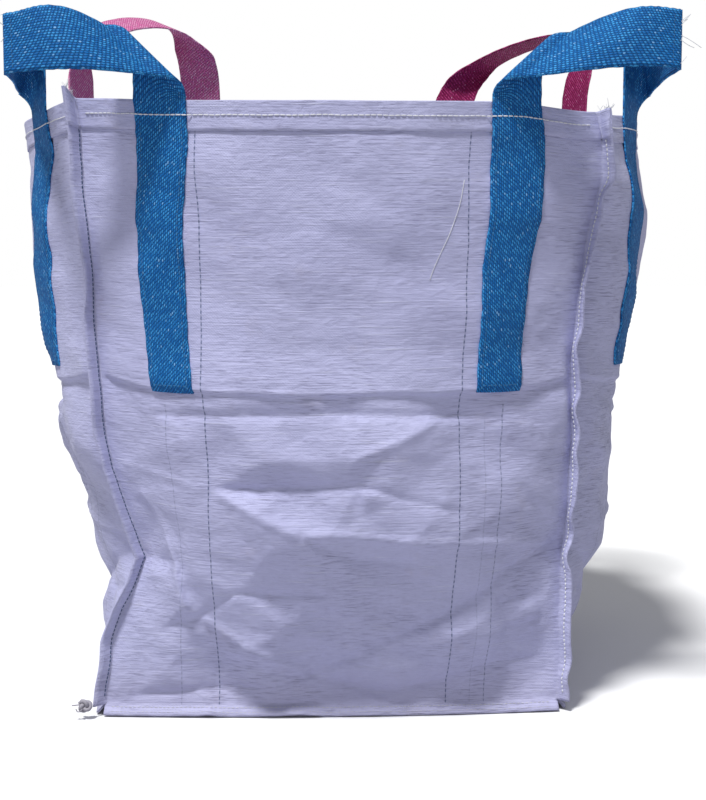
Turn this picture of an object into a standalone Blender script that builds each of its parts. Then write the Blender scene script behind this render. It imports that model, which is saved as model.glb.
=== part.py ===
"""A woven bulk bag with four webbing lifting loops, standing open on its base.

Metres, +Z up, the front panel faces -Y. The origin is on the floor under the middle of the base.
Each panel is one sheet: its sides turn out as seam flaps, its top folds down outside as the hem, and
its foot turns out over the flap of the base panel. A webbing loop has a leg sewn on each of the two
panels beside its corner, and its free part swings on the line through the two places where it leaves
the rim.
"""

import math

import bmesh
import bpy
from mathutils import Vector

# Driving dimensions of the bag.
RIM_Z = 0.900
RIM_SAG = 0.010
RIM_HALF = 0.372
BASE_HALF = 0.332
RIM_BULGE = 0.125
BASE_BULGE = 0.016
BULGE_FROM_Z = 0.500
FABRIC = 0.0012
GAP = 0.0003
FOOT_GAP = 0.0009

# Seams and hem.
SEAM_FLAP = 0.022
BASE_FLAP = 0.018
BASE_FLAP_SLOPE = math.radians(38)
BASE_RISE = 0.0165
BASE_EDGE = 0.10
HEM_DEPTH = 0.041
HEM_FOLD = 0.0024
THREAD = 0.0008
THREAD_WIDTH = 0.0022
THREAD_CLEAR = 0.0008
SEAM_LINE = 0.004
BASE_LINE_SHARE = 0.6
HEM_LINE = 0.019

# Webbing loops.
WEBBING = 0.0025
WEBBING_SHARE = 0.182
LEG_AT = 0.648
LEG_END_Z = 0.497
LEG_END_LINE = 0.008
LEG_LINE_IN = 0.026
LEG_LINE_SHARE = 0.016
HEM_RAMP = 0.020
ROOT_CLEAR = 0.012
ROOT_WIDTH = 0.020
LOOP_WIDTH = 0.075
LOOP_LENGTH_STEPS = 28

# How a front loop leans out of its corner, from the middle of the webbing where it leaves the rim.
FOLD_OUT_X = 0.452
FOLD_OUT_Y = 0.480
FOLD_RISE = 0.066
FOLD_RADIUS = 0.024
FOLD_TIP = 0.002
RUN_RISE = 0.038
RUN_SHARE = 0.36
RISE_SHARE = 0.03
SLANT_WIDTHS = (ROOT_WIDTH, 0.034, 0.066)
LOOP_SEWING = (-0.8, -0.4, 0.0, 0.4, 0.8)
LOOP_SEWING_FROM_MIDDLE = (-0.022, -0.014)

# How a rear loop stands.
ARCH_HEIGHT = 0.205
ARCH_LEAN = 0.10
ARCH_SQUARE = 0.8
ARCH_STEPS = 11
ARCH_FULL_WIDTH_FROM = 0.75

# The knotted thread end at the foot of the front left corner.
KNOT_OFFSET = (-0.0118, -0.0060, 0.004)
KNOT_SIZE = 0.0034
KNOT_THREAD = 0.0010
KNOT_STEPS = 72

# Where the grid of a wall has its lines: across (-1 to 1 between the seams) and up.
LEG_IN = LEG_AT - WEBBING_SHARE / 2
LEG_OUT = LEG_AT + WEBBING_SHARE / 2
HALF_COLUMNS = (0.19, 0.38, LEG_IN, LEG_AT, LEG_OUT, 0.87)
COLUMNS = tuple(-a for a in reversed(HALF_COLUMNS)) + (0.0,) + HALF_COLUMNS
LOW_ROWS = (0.0, 0.035, 0.09, 0.15, 0.21, 0.27, 0.33, 0.39, 0.45)
HIGH_ROWS = (LEG_END_Z, 0.57, 0.64, 0.71, 0.77, 0.82)
HEM_FOOT_Z = RIM_Z - HEM_DEPTH
ROWS = LOW_ROWS + HIGH_ROWS + (HEM_FOOT_Z - HEM_RAMP, HEM_FOOT_Z)

SIDES = ("front", "right", "rear", "left")
CORNERS = ("front_left", "front_right", "rear_right", "rear_left")
HANDS = (-1, 1)
UP = Vector((0, 0, 1))


def clear_scene():
    for obj in list(bpy.data.objects):
        bpy.data.objects.remove(obj, do_unlink=True)


def new_material(name, colour, roughness):
    material = bpy.data.materials.new(name)
    material.use_nodes = True
    shader = material.node_tree.nodes["Principled BSDF"]
    shader.inputs["Base Color"].default_value = (*colour, 1.0)
    shader.inputs["Roughness"].default_value = roughness
    shader.inputs["Metallic"].default_value = 0.0
    material.diffuse_color = (*colour, 1.0)
    return material


def smooth(x):
    x = min(max(x, 0.0), 1.0)
    return x * x * (3 - 2 * x)


# ---- The shape of a wall, in the front panel's own place -------------------------------------------


def half_at(z):
    """Half the distance between the seams at this height."""
    return BASE_HALF + (RIM_HALF - BASE_HALF) * z / RIM_Z


def bulge_at(z):
    """How far the middle of a wall stands out past its seams."""
    return BASE_BULGE + (RIM_BULGE - BASE_BULGE) * smooth(z / BULGE_FROM_Z)


def outward(a, z):
    """The level unit normal of the wall at share a across."""
    slope = 2 * bulge_at(z) * a / half_at(z)
    return Vector((slope, -1, 0)).normalized()


def wall(a, z, out=0.0):
    """A point of the front wall: a from -1 to 1 across, z up to the rim, out along the normal."""
    half = half_at(z)
    point = Vector((a * half, -half - bulge_at(z) * (1 - a * a), 0))
    point.z = BASE_RISE + (z / RIM_Z) * (RIM_Z - BASE_RISE - RIM_SAG * (1 - a * a))
    return point + outward(a, z) * out


def flap_frame(side):
    """The way out along a seam flap, and the way from its other ply to this one."""
    along = Vector((side, -1, 0)).normalized()
    across = Vector((-side, -1, 0)).normalized()
    return along, across


def seam_ply(side, z, reach, out=0.0):
    """A point of the front panel's own ply of a corner flap: reach from the seam, out from the ply."""
    along, across = flap_frame(side)
    root = wall(side, z)
    return root + across * ((FABRIC + GAP) / 2 + out) + along * reach


def seam_root(side, z, out):
    """The crease between the wall and its flap, moved out and mitred."""
    _, across = flap_frame(side)
    normal = outward(side, z)
    middle = (across + normal).normalized()
    return seam_ply(side, z, 0.0) + middle * (out / middle.dot(normal))


def panel_point(column, z, out=0.0):
    """A point of the whole front panel. A column is a share across, or a pair (side, reach) on a flap."""
    if isinstance(column, tuple):
        side, reach = column
        return seam_ply(side, z, reach, out) if reach else seam_root(side, z, out)
    return wall(column, z, out)


PANEL_COLUMNS = (
    ((-1, SEAM_FLAP), (-1, SEAM_FLAP / 2), (-1, 0.0))
    + COLUMNS
    + ((1, 0.0), (1, SEAM_FLAP / 2), (1, SEAM_FLAP))
)


# ---- Sheets ---------------------------------------------------------------------------------------


def sheet_mesh(name, columns, rows, place, keep=lambda i, j: True):
    """An open sheet: a grid with a corner at place(column, row) for each pair of lines."""
    bm = bmesh.new()
    bmesh.ops.create_grid(bm, x_segments=len(columns) - 1, y_segments=len(rows) - 1, size=1.0)

    def index(value, count):
        return round((value + 1) / 2 * (count - 1))

    unwanted = []
    for face in bm.faces:
        middle = face.calc_center_median()
        i = int((middle.x + 1) / 2 * (len(columns) - 1))
        j = int((middle.y + 1) / 2 * (len(rows) - 1))
        if not keep(i, j):
            unwanted.append(face)
    for vertex in bm.verts:
        i = index(vertex.co.x, len(columns))
        j = index(vertex.co.y, len(rows))
        vertex.co = place(columns[i], rows[j])
    bmesh.ops.delete(bm, geom=unwanted, context="FACES")
    bmesh.ops.triangulate(bm, faces=bm.faces, quad_method="FIXED")
    mesh = bpy.data.meshes.new(name)
    bm.to_mesh(mesh)
    bm.free()
    mesh.shade_smooth()
    mesh.set_sharp_from_angle(angle=math.radians(40))
    return mesh


def add_sheet(name, mesh, thickness, material, parent, turn=0.0):
    obj = bpy.data.objects.new(name, mesh)
    BAG.objects.link(obj)
    if not mesh.materials:
        mesh.materials.append(None)
    obj.material_slots[0].link = "OBJECT"
    obj.material_slots[0].material = material
    obj.parent = parent
    obj.rotation_euler.z = turn
    shell = obj.modifiers.new("thickness", "SOLIDIFY")
    shell.thickness = thickness
    shell.offset = 0.0
    shell.use_even_offset = True
    return obj


def add_empty(name, parent, location=(0, 0, 0)):
    empty = bpy.data.objects.new(name, None)
    empty.empty_display_size = 0.05
    BAG.objects.link(empty)
    empty.parent = parent
    empty.location = location
    return empty


# ---- Panels ---------------------------------------------------------------------------------------


def panel_rows():
    """Rows of a wall from the edge of its foot flap to the free edge of its hem."""
    rows = [("foot", BASE_FLAP), ("foot", BASE_FLAP / 2)]
    rows += [("wall", z) for z in ROWS]
    rows += [("fold", angle) for angle in (0, 60, 120, 180)]
    rows += [("hem", HEM_DEPTH / 2), ("hem", HEM_DEPTH)]
    return rows


def foot_offset(a, reach, ply):
    """A point of the base seam: reach out along the flap, on the wall's ply (+1) or the base's (-1)."""
    root = wall(a, 0.0)
    normal = outward(a, 0.0)
    along = normal * math.cos(BASE_FLAP_SLOPE) - UP * math.sin(BASE_FLAP_SLOPE)
    across = normal * math.sin(BASE_FLAP_SLOPE) + UP * math.cos(BASE_FLAP_SLOPE)
    return root + along * reach + across * (ply * (FABRIC + FOOT_GAP) / 2)


def wall_panel_place(column, row):
    kind, value = row
    on_flap = isinstance(column, tuple)
    if kind == "foot":
        a = column[0] if on_flap else column
        return foot_offset(a, value, 1)
    if kind == "wall" and value == 0 and not on_flap:
        return foot_offset(column, 0.0, 1)
    if kind == "wall":
        return panel_point(column, value) + (UP * FOOT_GAP if value == 0 else Vector())
    radius = HEM_FOLD / 2
    if kind == "fold":
        angle = math.radians(value)
        lift = radius * math.sin(angle) - radius
        return panel_point(column, RIM_Z, radius * (1 - math.cos(angle))) + UP * lift
    return panel_point(column, RIM_Z - value, HEM_FOLD)


def make_wall_panels(root, material):
    rows = panel_rows()
    last = len(PANEL_COLUMNS) - 2

    def keep(i, j):
        on_flap = i < 2 or i > last - 2
        return not (on_flap and j < 2)

    mesh = sheet_mesh("wall_panel", PANEL_COLUMNS, rows, wall_panel_place, keep)
    for k, side in enumerate(SIDES):
        add_sheet(f"{side}_panel", mesh, FABRIC, material, root, k * math.pi / 2)


def turned(point, quarters):
    """The point after this many quarter turns about the bag's upright axis."""
    for _ in range(quarters % 4):
        point = Vector((-point.y, point.x, point.z))
    return point


def base_panel_place(s, t):
    """The base: flat on the floor, lifted at its edges to the seam, with its own flaps beyond."""
    side_s, reach_s = s if isinstance(s, tuple) else (s, 0.0)
    side_t, reach_t = t if isinstance(t, tuple) else (t, 0.0)
    if isinstance(t, tuple) and not reach_s:
        quarters, share = (0, side_s) if side_t < 0 else (2, -side_s)
        return turned(foot_offset(share, reach_t, -1), quarters)
    if isinstance(s, tuple):
        quarters, share = (1, side_t) if side_s > 0 else (3, -side_t)
        return turned(foot_offset(share, reach_s, -1), quarters)
    x = s * (BASE_HALF + BASE_BULGE * (1 - t * t))
    y = t * (BASE_HALF + BASE_BULGE * (1 - s * s))
    edge = max(abs(s), abs(t))
    rise = BASE_RISE - FOOT_GAP - FABRIC
    return Vector((x, y, FABRIC / 2 + rise * smooth((edge - 1 + BASE_EDGE) / BASE_EDGE)))


def make_base_panel(root, material):
    inner = (-1 + BASE_EDGE, -1 + BASE_EDGE / 2)
    shares = sorted(set(COLUMNS + inner + tuple(-a for a in inner)))
    lines = [(-1, BASE_FLAP), (-1, BASE_FLAP / 2), (-1, 0.0)] + shares
    lines += [(1, 0.0), (1, BASE_FLAP / 2), (1, BASE_FLAP)]
    last = len(lines) - 2

    def keep(i, j):
        flap_i = i < 2 or i > last - 2
        flap_j = j < 2 or j > last - 2
        return not (flap_i and flap_j)

    mesh = sheet_mesh("base_panel", lines, lines, base_panel_place, keep)
    add_sheet("base_panel", mesh, FABRIC, material, root)


# ---- Webbing legs and sewing -----------------------------------------------------------------------


def leg_out(z):
    """How far a leg's middle stands off the wall's middle: it steps out over the hem."""
    on_wall = FABRIC / 2 + GAP + WEBBING / 2
    over_hem = HEM_FOLD * smooth((z - HEM_FOOT_Z + HEM_RAMP) / HEM_RAMP)
    return on_wall + over_hem


def leg_rows():
    return [z for z in ROWS if z >= LEG_END_Z] + [RIM_Z - HEM_DEPTH / 2, RIM_Z - HEM_FOLD]


def leg_owner(k, hand):
    """The corner whose loop has this leg, and the leg's name: hand is -1 or 1 across wall k."""
    corner = CORNERS[k] if hand < 0 else CORNERS[(k + 1) % 4]
    leg = SIDES[k] if SIDES[k] in ("front", "rear") else "side"
    return corner, f"{corner}_loop_{leg}_leg"


def make_legs(root, loop_materials):
    for hand in HANDS:
        columns = sorted((hand * LEG_IN, hand * LEG_AT, hand * LEG_OUT))
        mesh = sheet_mesh("loop_leg", columns, leg_rows(), lambda a, z: wall(a, z, leg_out(z)))
        for k in range(len(SIDES)):
            corner, name = leg_owner(k, hand)
            add_sheet(name, mesh, WEBBING, loop_materials[corner], root, k * math.pi / 2)


def make_leg_threads(root, material):
    """A U of stitching on each leg: down one edge, across the end and up the other."""
    out = WEBBING / 2 + THREAD_CLEAR + THREAD / 2
    first = LEG_END_Z + LEG_END_LINE
    rows = [first, first + THREAD_WIDTH]
    rows += [z for z in ROWS if first + THREAD_WIDTH < z <= HEM_FOOT_Z] + [RIM_Z - LEG_LINE_IN]
    line = THREAD_WIDTH / RIM_HALF
    edge_in = LEG_IN + LEG_LINE_SHARE
    edge_out = LEG_OUT - LEG_LINE_SHARE
    shares = (edge_in, edge_in + line, LEG_AT, edge_out - line, edge_out)
    for hand in HANDS:
        mesh = sheet_mesh(
            "leg_stitching",
            sorted(hand * a for a in shares),
            rows,
            lambda a, z: wall(a, z, leg_out(z) + out),
            lambda i, j: i in (0, 3) or j == 0,
        )
        for k in range(len(SIDES)):
            name = f"{leg_owner(k, hand)[1]}_stitching"
            add_sheet(name, mesh, THREAD, material, root, k * math.pi / 2)


def make_hem_threads(root, material):
    """The hem's line of stitching, which also runs over both legs."""
    over_leg = 0.012
    on_hem = HEM_FOLD + FABRIC / 2 + THREAD_CLEAR + THREAD / 2
    on_leg = leg_out(RIM_Z) + WEBBING / 2 + THREAD_CLEAR + THREAD / 2
    beside = (LEG_IN - over_leg, LEG_OUT + over_leg)
    half = sorted(HALF_COLUMNS + beside + (0.97,))
    columns = [-a for a in reversed(half)] + [0.0] + half

    def place(a, z):
        lifted = LEG_IN - over_leg / 4 <= abs(a) <= LEG_OUT + over_leg / 4
        return wall(a, z, on_leg if lifted else on_hem)

    rows = (RIM_Z - HEM_LINE - THREAD_WIDTH, RIM_Z - HEM_LINE)
    mesh = sheet_mesh("hem_thread", columns, rows, place)
    for k, side in enumerate(SIDES):
        add_sheet(f"{side}_hem_stitching", mesh, THREAD, material, root, k * math.pi / 2)


def make_seam_threads(root, blue, white):
    """The chain stitch of each corner seam, on the flap, and of each base seam, on the foot."""
    out = FABRIC / 2 + GAP + THREAD / 2
    rows = [z for z in ROWS if 0 < z]
    reaches = (SEAM_LINE, SEAM_LINE + THREAD_WIDTH)
    for hand in HANDS:
        mesh = sheet_mesh(
            "seam_stitching", reaches, rows, lambda reach, z: seam_ply(hand, z, reach, out)
        )
        for k in (0, 2):
            corner = leg_owner(k, hand)[0]
            material = white if corner == "front_right" else blue
            add_sheet(f"{corner}_seam_stitching", mesh, THREAD, material, root, k * math.pi / 2)

    def foot_place(a, reach):
        level = foot_offset(a, reach, 1)
        across = outward(a, 0.0) * math.sin(BASE_FLAP_SLOPE) + UP * math.cos(BASE_FLAP_SLOPE)
        return level + across * out

    first = BASE_FLAP * BASE_LINE_SHARE
    foot_reaches = (first + THREAD_WIDTH, first)
    mesh = sheet_mesh("foot_thread", COLUMNS, foot_reaches, foot_place)
    for k, side in enumerate(SIDES):
        add_sheet(f"{side}_base_stitching", mesh, THREAD, white, root, k * math.pi / 2)


# ---- Free loops ------------------------------------------------------------------------------------


def exit_point(side, turn):
    """Where a leg leaves the rim: the middle of the webbing, a little above the hem's fold."""
    point = wall(side * LEG_AT, RIM_Z, leg_out(RIM_Z)) + UP * ROOT_CLEAR
    return turned(point, turn)


def edge_way(point, corner):
    """The level way along the wall at a leg's exit, towards the corner."""
    inner = outward(LEG_AT, RIM_Z)
    along = Vector((-inner.y, inner.x, 0))
    on_front = abs(point.y) > abs(point.x)
    way = Vector((along.x, along.y, 0)) if on_front else Vector((along.y, along.x, 0))
    return Vector((way.x * corner.x, -way.y * corner.y, 0)).normalized()


def blend_points(points, t):
    """A Catmull-Rom curve through the points, t from 0 to 1."""
    last = len(points) - 1
    place = min(t * last, last - 1e-9)
    i = int(place)
    f = place - i
    p0, p1 = points[max(i - 1, 0)], points[i]
    p2, p3 = points[i + 1], points[min(i + 2, last)]
    slope = p2 - p0
    square = 2 * p0 - 5 * p1 + 4 * p2 - p3
    cube = 3 * p1 - p0 - 3 * p2 + p3
    return p1 + (slope * f + square * f**2 + cube * f**3) / 2


def leaning_loop(start, end, corner):
    """A front loop: each half turns from its leg to stand on edge, and they meet in an outward fold."""
    fold = Vector((FOLD_OUT_X * corner.x, FOLD_OUT_Y * corner.y, start.z + FOLD_RISE))
    rise_a = start.lerp(fold, RISE_SHARE) + UP * RUN_RISE
    rise_b = end.lerp(fold, RISE_SHARE) + UP * RUN_RISE
    run_a = start.lerp(fold, RUN_SHARE) + UP * RUN_RISE
    run_b = end.lerp(fold, RUN_SHARE) + UP * RUN_RISE
    near = fold - Vector((FOLD_RADIUS * corner.x, 0, 0))
    far = fold - Vector((0, FOLD_RADIUS * corner.y, 0))
    tip = fold + Vector((corner.x, corner.y, 0)) * FOLD_TIP
    middle_a = run_a.lerp(near, 0.5)
    middle_b = run_b.lerp(far, 0.5)
    points = [start, rise_a, run_a, middle_a, near, tip, far, middle_b, run_b, rise_b, end]
    level_a = edge_way(start, corner) * -1
    level_b = edge_way(end, corner) * -1
    upright = [UP] * (len(points) - 2 * 2)
    widths = [level_a, (level_a + UP).normalized()] + upright + [(level_b + UP).normalized(), level_b]
    plain = [LOOP_WIDTH] * (len(points) - 2 * len(SLANT_WIDTHS))
    spans = list(SLANT_WIDTHS) + plain + list(reversed(SLANT_WIDTHS))
    return points, widths, spans


def standing_loop(start, end, corner):
    """A rear loop: an arch that stands up from the rim, its webbing level across the top."""
    level = (end - start) / 2
    middle = (start + end) / 2
    out = Vector((corner.x, corner.y, 0)).normalized()
    points, widths, spans = [], [], []
    for i in range(ARCH_STEPS):
        angle = math.pi * i / (ARCH_STEPS - 1)
        rise = UP * ARCH_HEIGHT * math.sin(angle) ** ARCH_SQUARE
        lean = out * ARCH_LEAN * ARCH_HEIGHT * math.sin(angle)
        edge = edge_way(start, corner) if angle < math.pi / 2 else edge_way(end, corner)
        share = smooth(math.sin(angle))
        from_exit = min(angle, math.pi - angle)
        grown = smooth(from_exit / ARCH_FULL_WIDTH_FROM)
        points.append(middle - level * math.cos(angle) + rise + lean)
        widths.append((edge * (share - 1) - out * share).normalized())
        spans.append(ROOT_WIDTH + (LOOP_WIDTH - ROOT_WIDTH) * grown)
    return points, widths, spans


def loop_hinges():
    """Each loop's name, its corner, its two exits and how it rests."""
    corners = (
        ("front_left", (-1, -1), (-1, 0), (1, 3), leaning_loop),
        ("front_right", (1, -1), (1, 0), (-1, 1), leaning_loop),
        ("rear_right", (1, 1), (-1, 2), (1, 1), standing_loop),
        ("rear_left", (-1, 1), (1, 2), (-1, 3), standing_loop),
    )
    for name, corner, first, second, shape in corners:
        yield name, Vector((*corner, 0)), exit_point(*first), exit_point(*second), shape


def make_loops(root, loop_materials, thread):
    for name, corner, start, end, shape in loop_hinges():
        points, widths, spans = shape(start, end, corner)
        pivot = add_empty(f"{name}_loop_axis", root, (start + end) / 2)
        steps = [i / LOOP_LENGTH_STEPS for i in range(LOOP_LENGTH_STEPS + 1)]

        def place(v, t, out=0.0):
            centre = blend_points(points, t)
            ahead = blend_points(points, min(t + 0.01, 1)) - blend_points(points, max(t - 0.01, 0))
            across = blend_points(widths, t).normalized()
            across = (across - ahead.normalized() * across.dot(ahead.normalized())).normalized()
            span = blend_points(spans, t)
            normal = ahead.normalized().cross(across)
            return centre + across * (v * span / 2) + normal * out - pivot.location

        mesh = sheet_mesh(f"{name}_loop", (-1, 0, 1), steps, place)
        add_sheet(f"{name}_loop", mesh, WEBBING, loop_materials[name], pivot)

        outer = corner.x * corner.y
        away = WEBBING / 2 + THREAD_CLEAR + THREAD / 2
        thread_rows = [0.5 + share for share in LOOP_SEWING_FROM_MIDDLE]
        thread_mesh = sheet_mesh(
            f"{name}_loop_thread",
            LOOP_SEWING,
            thread_rows,
            lambda v, t: place(v, t, away * outer),
        )
        add_sheet(f"{name}_loop_stitching", thread_mesh, THREAD, thread, pivot)


def make_tail(root, material):
    """The knotted end of the seam thread at the foot of the front left corner."""
    centre = seam_ply(-1, 0.0, SEAM_FLAP) + Vector(KNOT_OFFSET)
    curve = bpy.data.curves.new("seam_thread_knot", "CURVE")
    curve.dimensions = "3D"
    curve.bevel_depth = KNOT_THREAD
    curve.bevel_resolution = 2
    spline = curve.splines.new("POLY")
    spline.points.add(KNOT_STEPS - 1)
    for i, point in enumerate(spline.points):
        t = math.tau * i / KNOT_STEPS
        ring = 2 + math.cos(3 * t)
        local = Vector((ring * math.cos(2 * t), 1.4 * math.sin(3 * t), ring * math.sin(2 * t)))
        point.co = (*(local * KNOT_SIZE), 1)
    spline.use_cyclic_u = True
    curve.materials.append(material)
    knot = bpy.data.objects.new("seam_thread_knot", curve)
    knot.location = centre
    knot.parent = root
    BAG.objects.link(knot)


def main():
    fabric = new_material("woven_polypropylene", (0.60, 0.60, 0.74), 0.62)
    blue = new_material("blue_webbing", (0.015, 0.15, 0.42), 0.55)
    pink = new_material("pink_webbing", (0.62, 0.08, 0.32), 0.55)
    seam_thread = new_material("seam_thread", (0.03, 0.07, 0.22), 0.7)
    white_thread = new_material("white_thread", (0.85, 0.85, 0.88), 0.7)
    root = add_empty("bag_root", None)
    make_wall_panels(root, fabric)
    make_base_panel(root, fabric)
    loops = {"front_left": blue, "front_right": blue, "rear_right": pink, "rear_left": pink}
    make_legs(root, loops)
    make_leg_threads(root, seam_thread)
    make_hem_threads(root, white_thread)
    make_seam_threads(root, seam_thread, white_thread)
    make_loops(root, loops, white_thread)
    make_tail(root, white_thread)


clear_scene()
BAG = bpy.data.collections.new("bulk_bag")
bpy.context.scene.collection.children.link(BAG)
main()
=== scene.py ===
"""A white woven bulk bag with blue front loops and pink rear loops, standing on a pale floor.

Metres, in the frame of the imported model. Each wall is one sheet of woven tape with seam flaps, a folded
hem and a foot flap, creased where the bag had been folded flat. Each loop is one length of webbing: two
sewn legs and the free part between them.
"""

import math

import bpy
import numpy as np
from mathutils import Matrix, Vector
from mathutils.geometry import delaunay_2d_cdt


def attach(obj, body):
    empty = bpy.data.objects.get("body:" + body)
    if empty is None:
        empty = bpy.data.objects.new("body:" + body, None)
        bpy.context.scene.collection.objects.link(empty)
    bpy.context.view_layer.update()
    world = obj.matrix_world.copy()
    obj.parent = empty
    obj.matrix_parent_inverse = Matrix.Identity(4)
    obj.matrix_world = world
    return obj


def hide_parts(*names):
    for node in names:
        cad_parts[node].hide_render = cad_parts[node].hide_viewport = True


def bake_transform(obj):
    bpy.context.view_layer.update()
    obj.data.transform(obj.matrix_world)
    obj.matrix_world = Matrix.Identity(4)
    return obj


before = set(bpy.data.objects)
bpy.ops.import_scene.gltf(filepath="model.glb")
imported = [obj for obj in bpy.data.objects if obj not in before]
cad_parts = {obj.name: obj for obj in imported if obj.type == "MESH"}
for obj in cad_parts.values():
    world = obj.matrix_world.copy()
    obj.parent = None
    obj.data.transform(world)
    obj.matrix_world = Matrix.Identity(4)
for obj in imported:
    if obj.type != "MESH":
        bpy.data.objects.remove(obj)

# The bag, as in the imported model.
RIM_Z = 0.900
RIM_SAG = 0.010
RIM_HALF = 0.372
BASE_HALF = 0.332
RIM_BULGE = 0.125
BASE_BULGE = 0.016
BULGE_FROM_Z = 0.500
BASE_RISE = 0.0165
BASE_EDGE = 0.10
FABRIC = 0.0012
GAP = 0.0003
FOOT_GAP = 0.0009
SEAM_FLAP = 0.022
SEAM_LINE = 0.0038
SEAM_LINE_WHITE = 0.0108
BASE_FLAP = 0.018
BASE_FLAP_SLOPE = math.radians(48)
BASE_FLAP_STEEPEST = math.radians(58)
HEM_DEPTH = 0.041
HEM_FOLD = 0.0016
HEM_LINE = 0.019
HEM_RAMP = 0.016
WEBBING = 0.0025
WEBBING_WIDTH = 0.075
WALL_UV_STEP = 3.0
STRAP_UV_STEP = 0.5
LEG_END_Z = 0.491
SIDE_LEG_END_Z = 0.514
FOLD_RING_Z = 0.4925
KNOT_OFFSET = (-0.0118, -0.0060, 0.004)
KNOT_SIZE = 0.0027
KNOT_THREAD = 0.0032

SIDES = ("front", "right", "rear", "left")
CORNERS = ("front_left", "front_right", "rear_right", "rear_left")
CORNER_WAY = ((-1, -1), (1, -1), (1, 1), (-1, 1))
ACROSS_STEPS = 190
UP = np.array((0.0, 0.0, 1.0))

# Creases of the lower front wall: across from the middle, up, and how far they stand out, in metres and mm.
CREASE_NODES = {
    "ring_l": (-0.345, 0.487, 0),
    "ring_a": (-0.186, 0.487, 0),
    "ring_b": (0.025, 0.487, 0),
    "ring_c": (0.171, 0.487, 0),
    "ring_r": (0.345, 0.487, 0),
    "under_l": (-0.262, 0.455, -1),
    "under_a": (-0.168, 0.459, -5),
    "under_b": (-0.011, 0.464, -6),
    "under_c": (0.110, 0.459, -5),
    "under_d": (0.232, 0.452, -1),
    "puff_l": (-0.255, 0.400, 4),
    "puff_a": (-0.110, 0.395, 7),
    "puff_b": (-0.020, 0.398, 9),
    "lip_top": (0.128, 0.448, 2),
    "lip_mid": (0.075, 0.420, 9),
    "lip_low": (0.020, 0.398, 9),
    "shade_c": (0.155, 0.402, -4),
    "puff_r": (0.255, 0.370, 5),
    "fold_l": (-0.330, 0.375, -3),
    "star_a": (-0.187, 0.348, -9),
    "vale_a": (-0.080, 0.353, -13),
    "star_a2": (0.026, 0.360, -7),
    "under_a2": (0.034, 0.346, 3),
    "ridge_a3": (0.085, 0.340, 4),
    "ridge_a3b": (0.171, 0.316, 5),
    "ridge_ab": (-0.125, 0.317, 11),
    "star_b": (-0.055, 0.283, 12),
    "ridge_b1": (-0.010, 0.288, 11),
    "ridge_b2": (0.090, 0.274, 10),
    "ridge_b3": (0.168, 0.266, 8),
    "above_b": (0.030, 0.316, -4),
    "ridge_b4": (0.265, 0.259, 2),
    "pinch": (0.345, 0.250, -16),
    "vale_b": (0.023, 0.245, -5),
    "vale_b2": (0.110, 0.238, -3),
    "mid_a": (-0.115, 0.245, 3),
    "mid_b": (-0.160, 0.190, -4),
    "mid_c": (-0.020, 0.190, -6),
    "mid_d": (0.085, 0.180, -9),
    "vale_d3": (0.262, 0.213, -13),
    "vale_d2": (0.231, 0.190, -13),
    "vale_d1": (0.172, 0.153, -14),
    "vale_d0": (0.060, 0.100, -15),
    "star_d": (-0.046, 0.051, -16),
    "low_a": (0.235, 0.150, 6),
    "low_b": (0.170, 0.112, 8),
    "low_c": (0.070, 0.064, 1),
    "dent": (-0.216, 0.147, -17),
    "ridge_c": (-0.136, 0.101, 9),
    "under_c1": (-0.185, 0.084, -17),
    "under_c2": (-0.105, 0.056, -19),
    "seam_line": (-0.316, 0.330, -2),
    "line_mid": (-0.262, 0.255, -11),
    "tri_a": (-0.285, 0.262, 0),
    "tri_b": (-0.262, 0.205, 5),
    "tri_c": (-0.240, 0.165, 3),
    "left_low": (-0.290, 0.120, -7),
    "left_low2": (-0.250, 0.085, 3),
    "star_e": (0.061, 0.018, -12),
    "vale_e1": (0.165, 0.036, -11),
    "vale_e2": (0.245, 0.063, -10),
    "vale_e3": (0.320, 0.066, -4),
    "low_d": (0.150, 0.068, 0),
    "low_e": (0.240, 0.100, 3),
    "g_low": (0.252, 0.162, -3),
    "g_high": (0.325, 0.172, -7),
    "g_ridge": (0.300, 0.150, 3),
    "g_vale": (0.270, 0.122, -5),
    "g_vale2": (0.325, 0.130, -6),
    "band_l": (-0.318, 0.014, -3),
    "band_m": (-0.197, 0.026, -12),
    "band_n": (-0.100, 0.030, -14),
    "foot_l": (-0.340, 0.0, 0),
    "foot_a": (-0.200, 0.0, 0),
    "foot_b": (-0.048, 0.0, 2),
    "foot_c": (0.076, 0.0, -1),
    "foot_d": (0.200, 0.0, 1),
    "foot_r": (0.340, 0.0, 0),
    "edge_l": (-0.372, 0.487, 0),
    "edge_l2": (-0.372, 0.200, 0),
    "edge_l3": (-0.372, 0.0, 0),
    "edge_r": (0.372, 0.487, 0),
    "edge_r2": (0.372, 0.250, -10),
    "edge_r3": (0.372, 0.0, 0),
}
CREASE_LINES = (
    ("star_a", "vale_a", "star_a2", "ridge_a3", "ridge_a3b"),
    ("fold_l", "star_a", "ridge_ab", "star_b", "ridge_b1", "ridge_b2", "ridge_b3", "ridge_b4", "pinch"),
    ("star_b", "vale_b", "vale_b2"),
    ("pinch", "vale_d3", "vale_d2", "vale_d1", "vale_d0", "star_d"),
    ("star_d", "ridge_c", "dent", "line_mid", "seam_line"),
    ("star_d", "star_e", "vale_e1", "vale_e2", "vale_e3"),
    ("band_l", "band_m", "band_n", "star_d"),
    ("lip_top", "lip_mid", "lip_low"),
    ("under_l", "under_a", "under_b", "under_c", "under_d"),
    ("g_low", "g_high"),
    ("g_vale", "g_vale2"),
    ("tri_a", "tri_b", "tri_c"),
    ("dent", "mid_b", "mid_c"),
)
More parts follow.
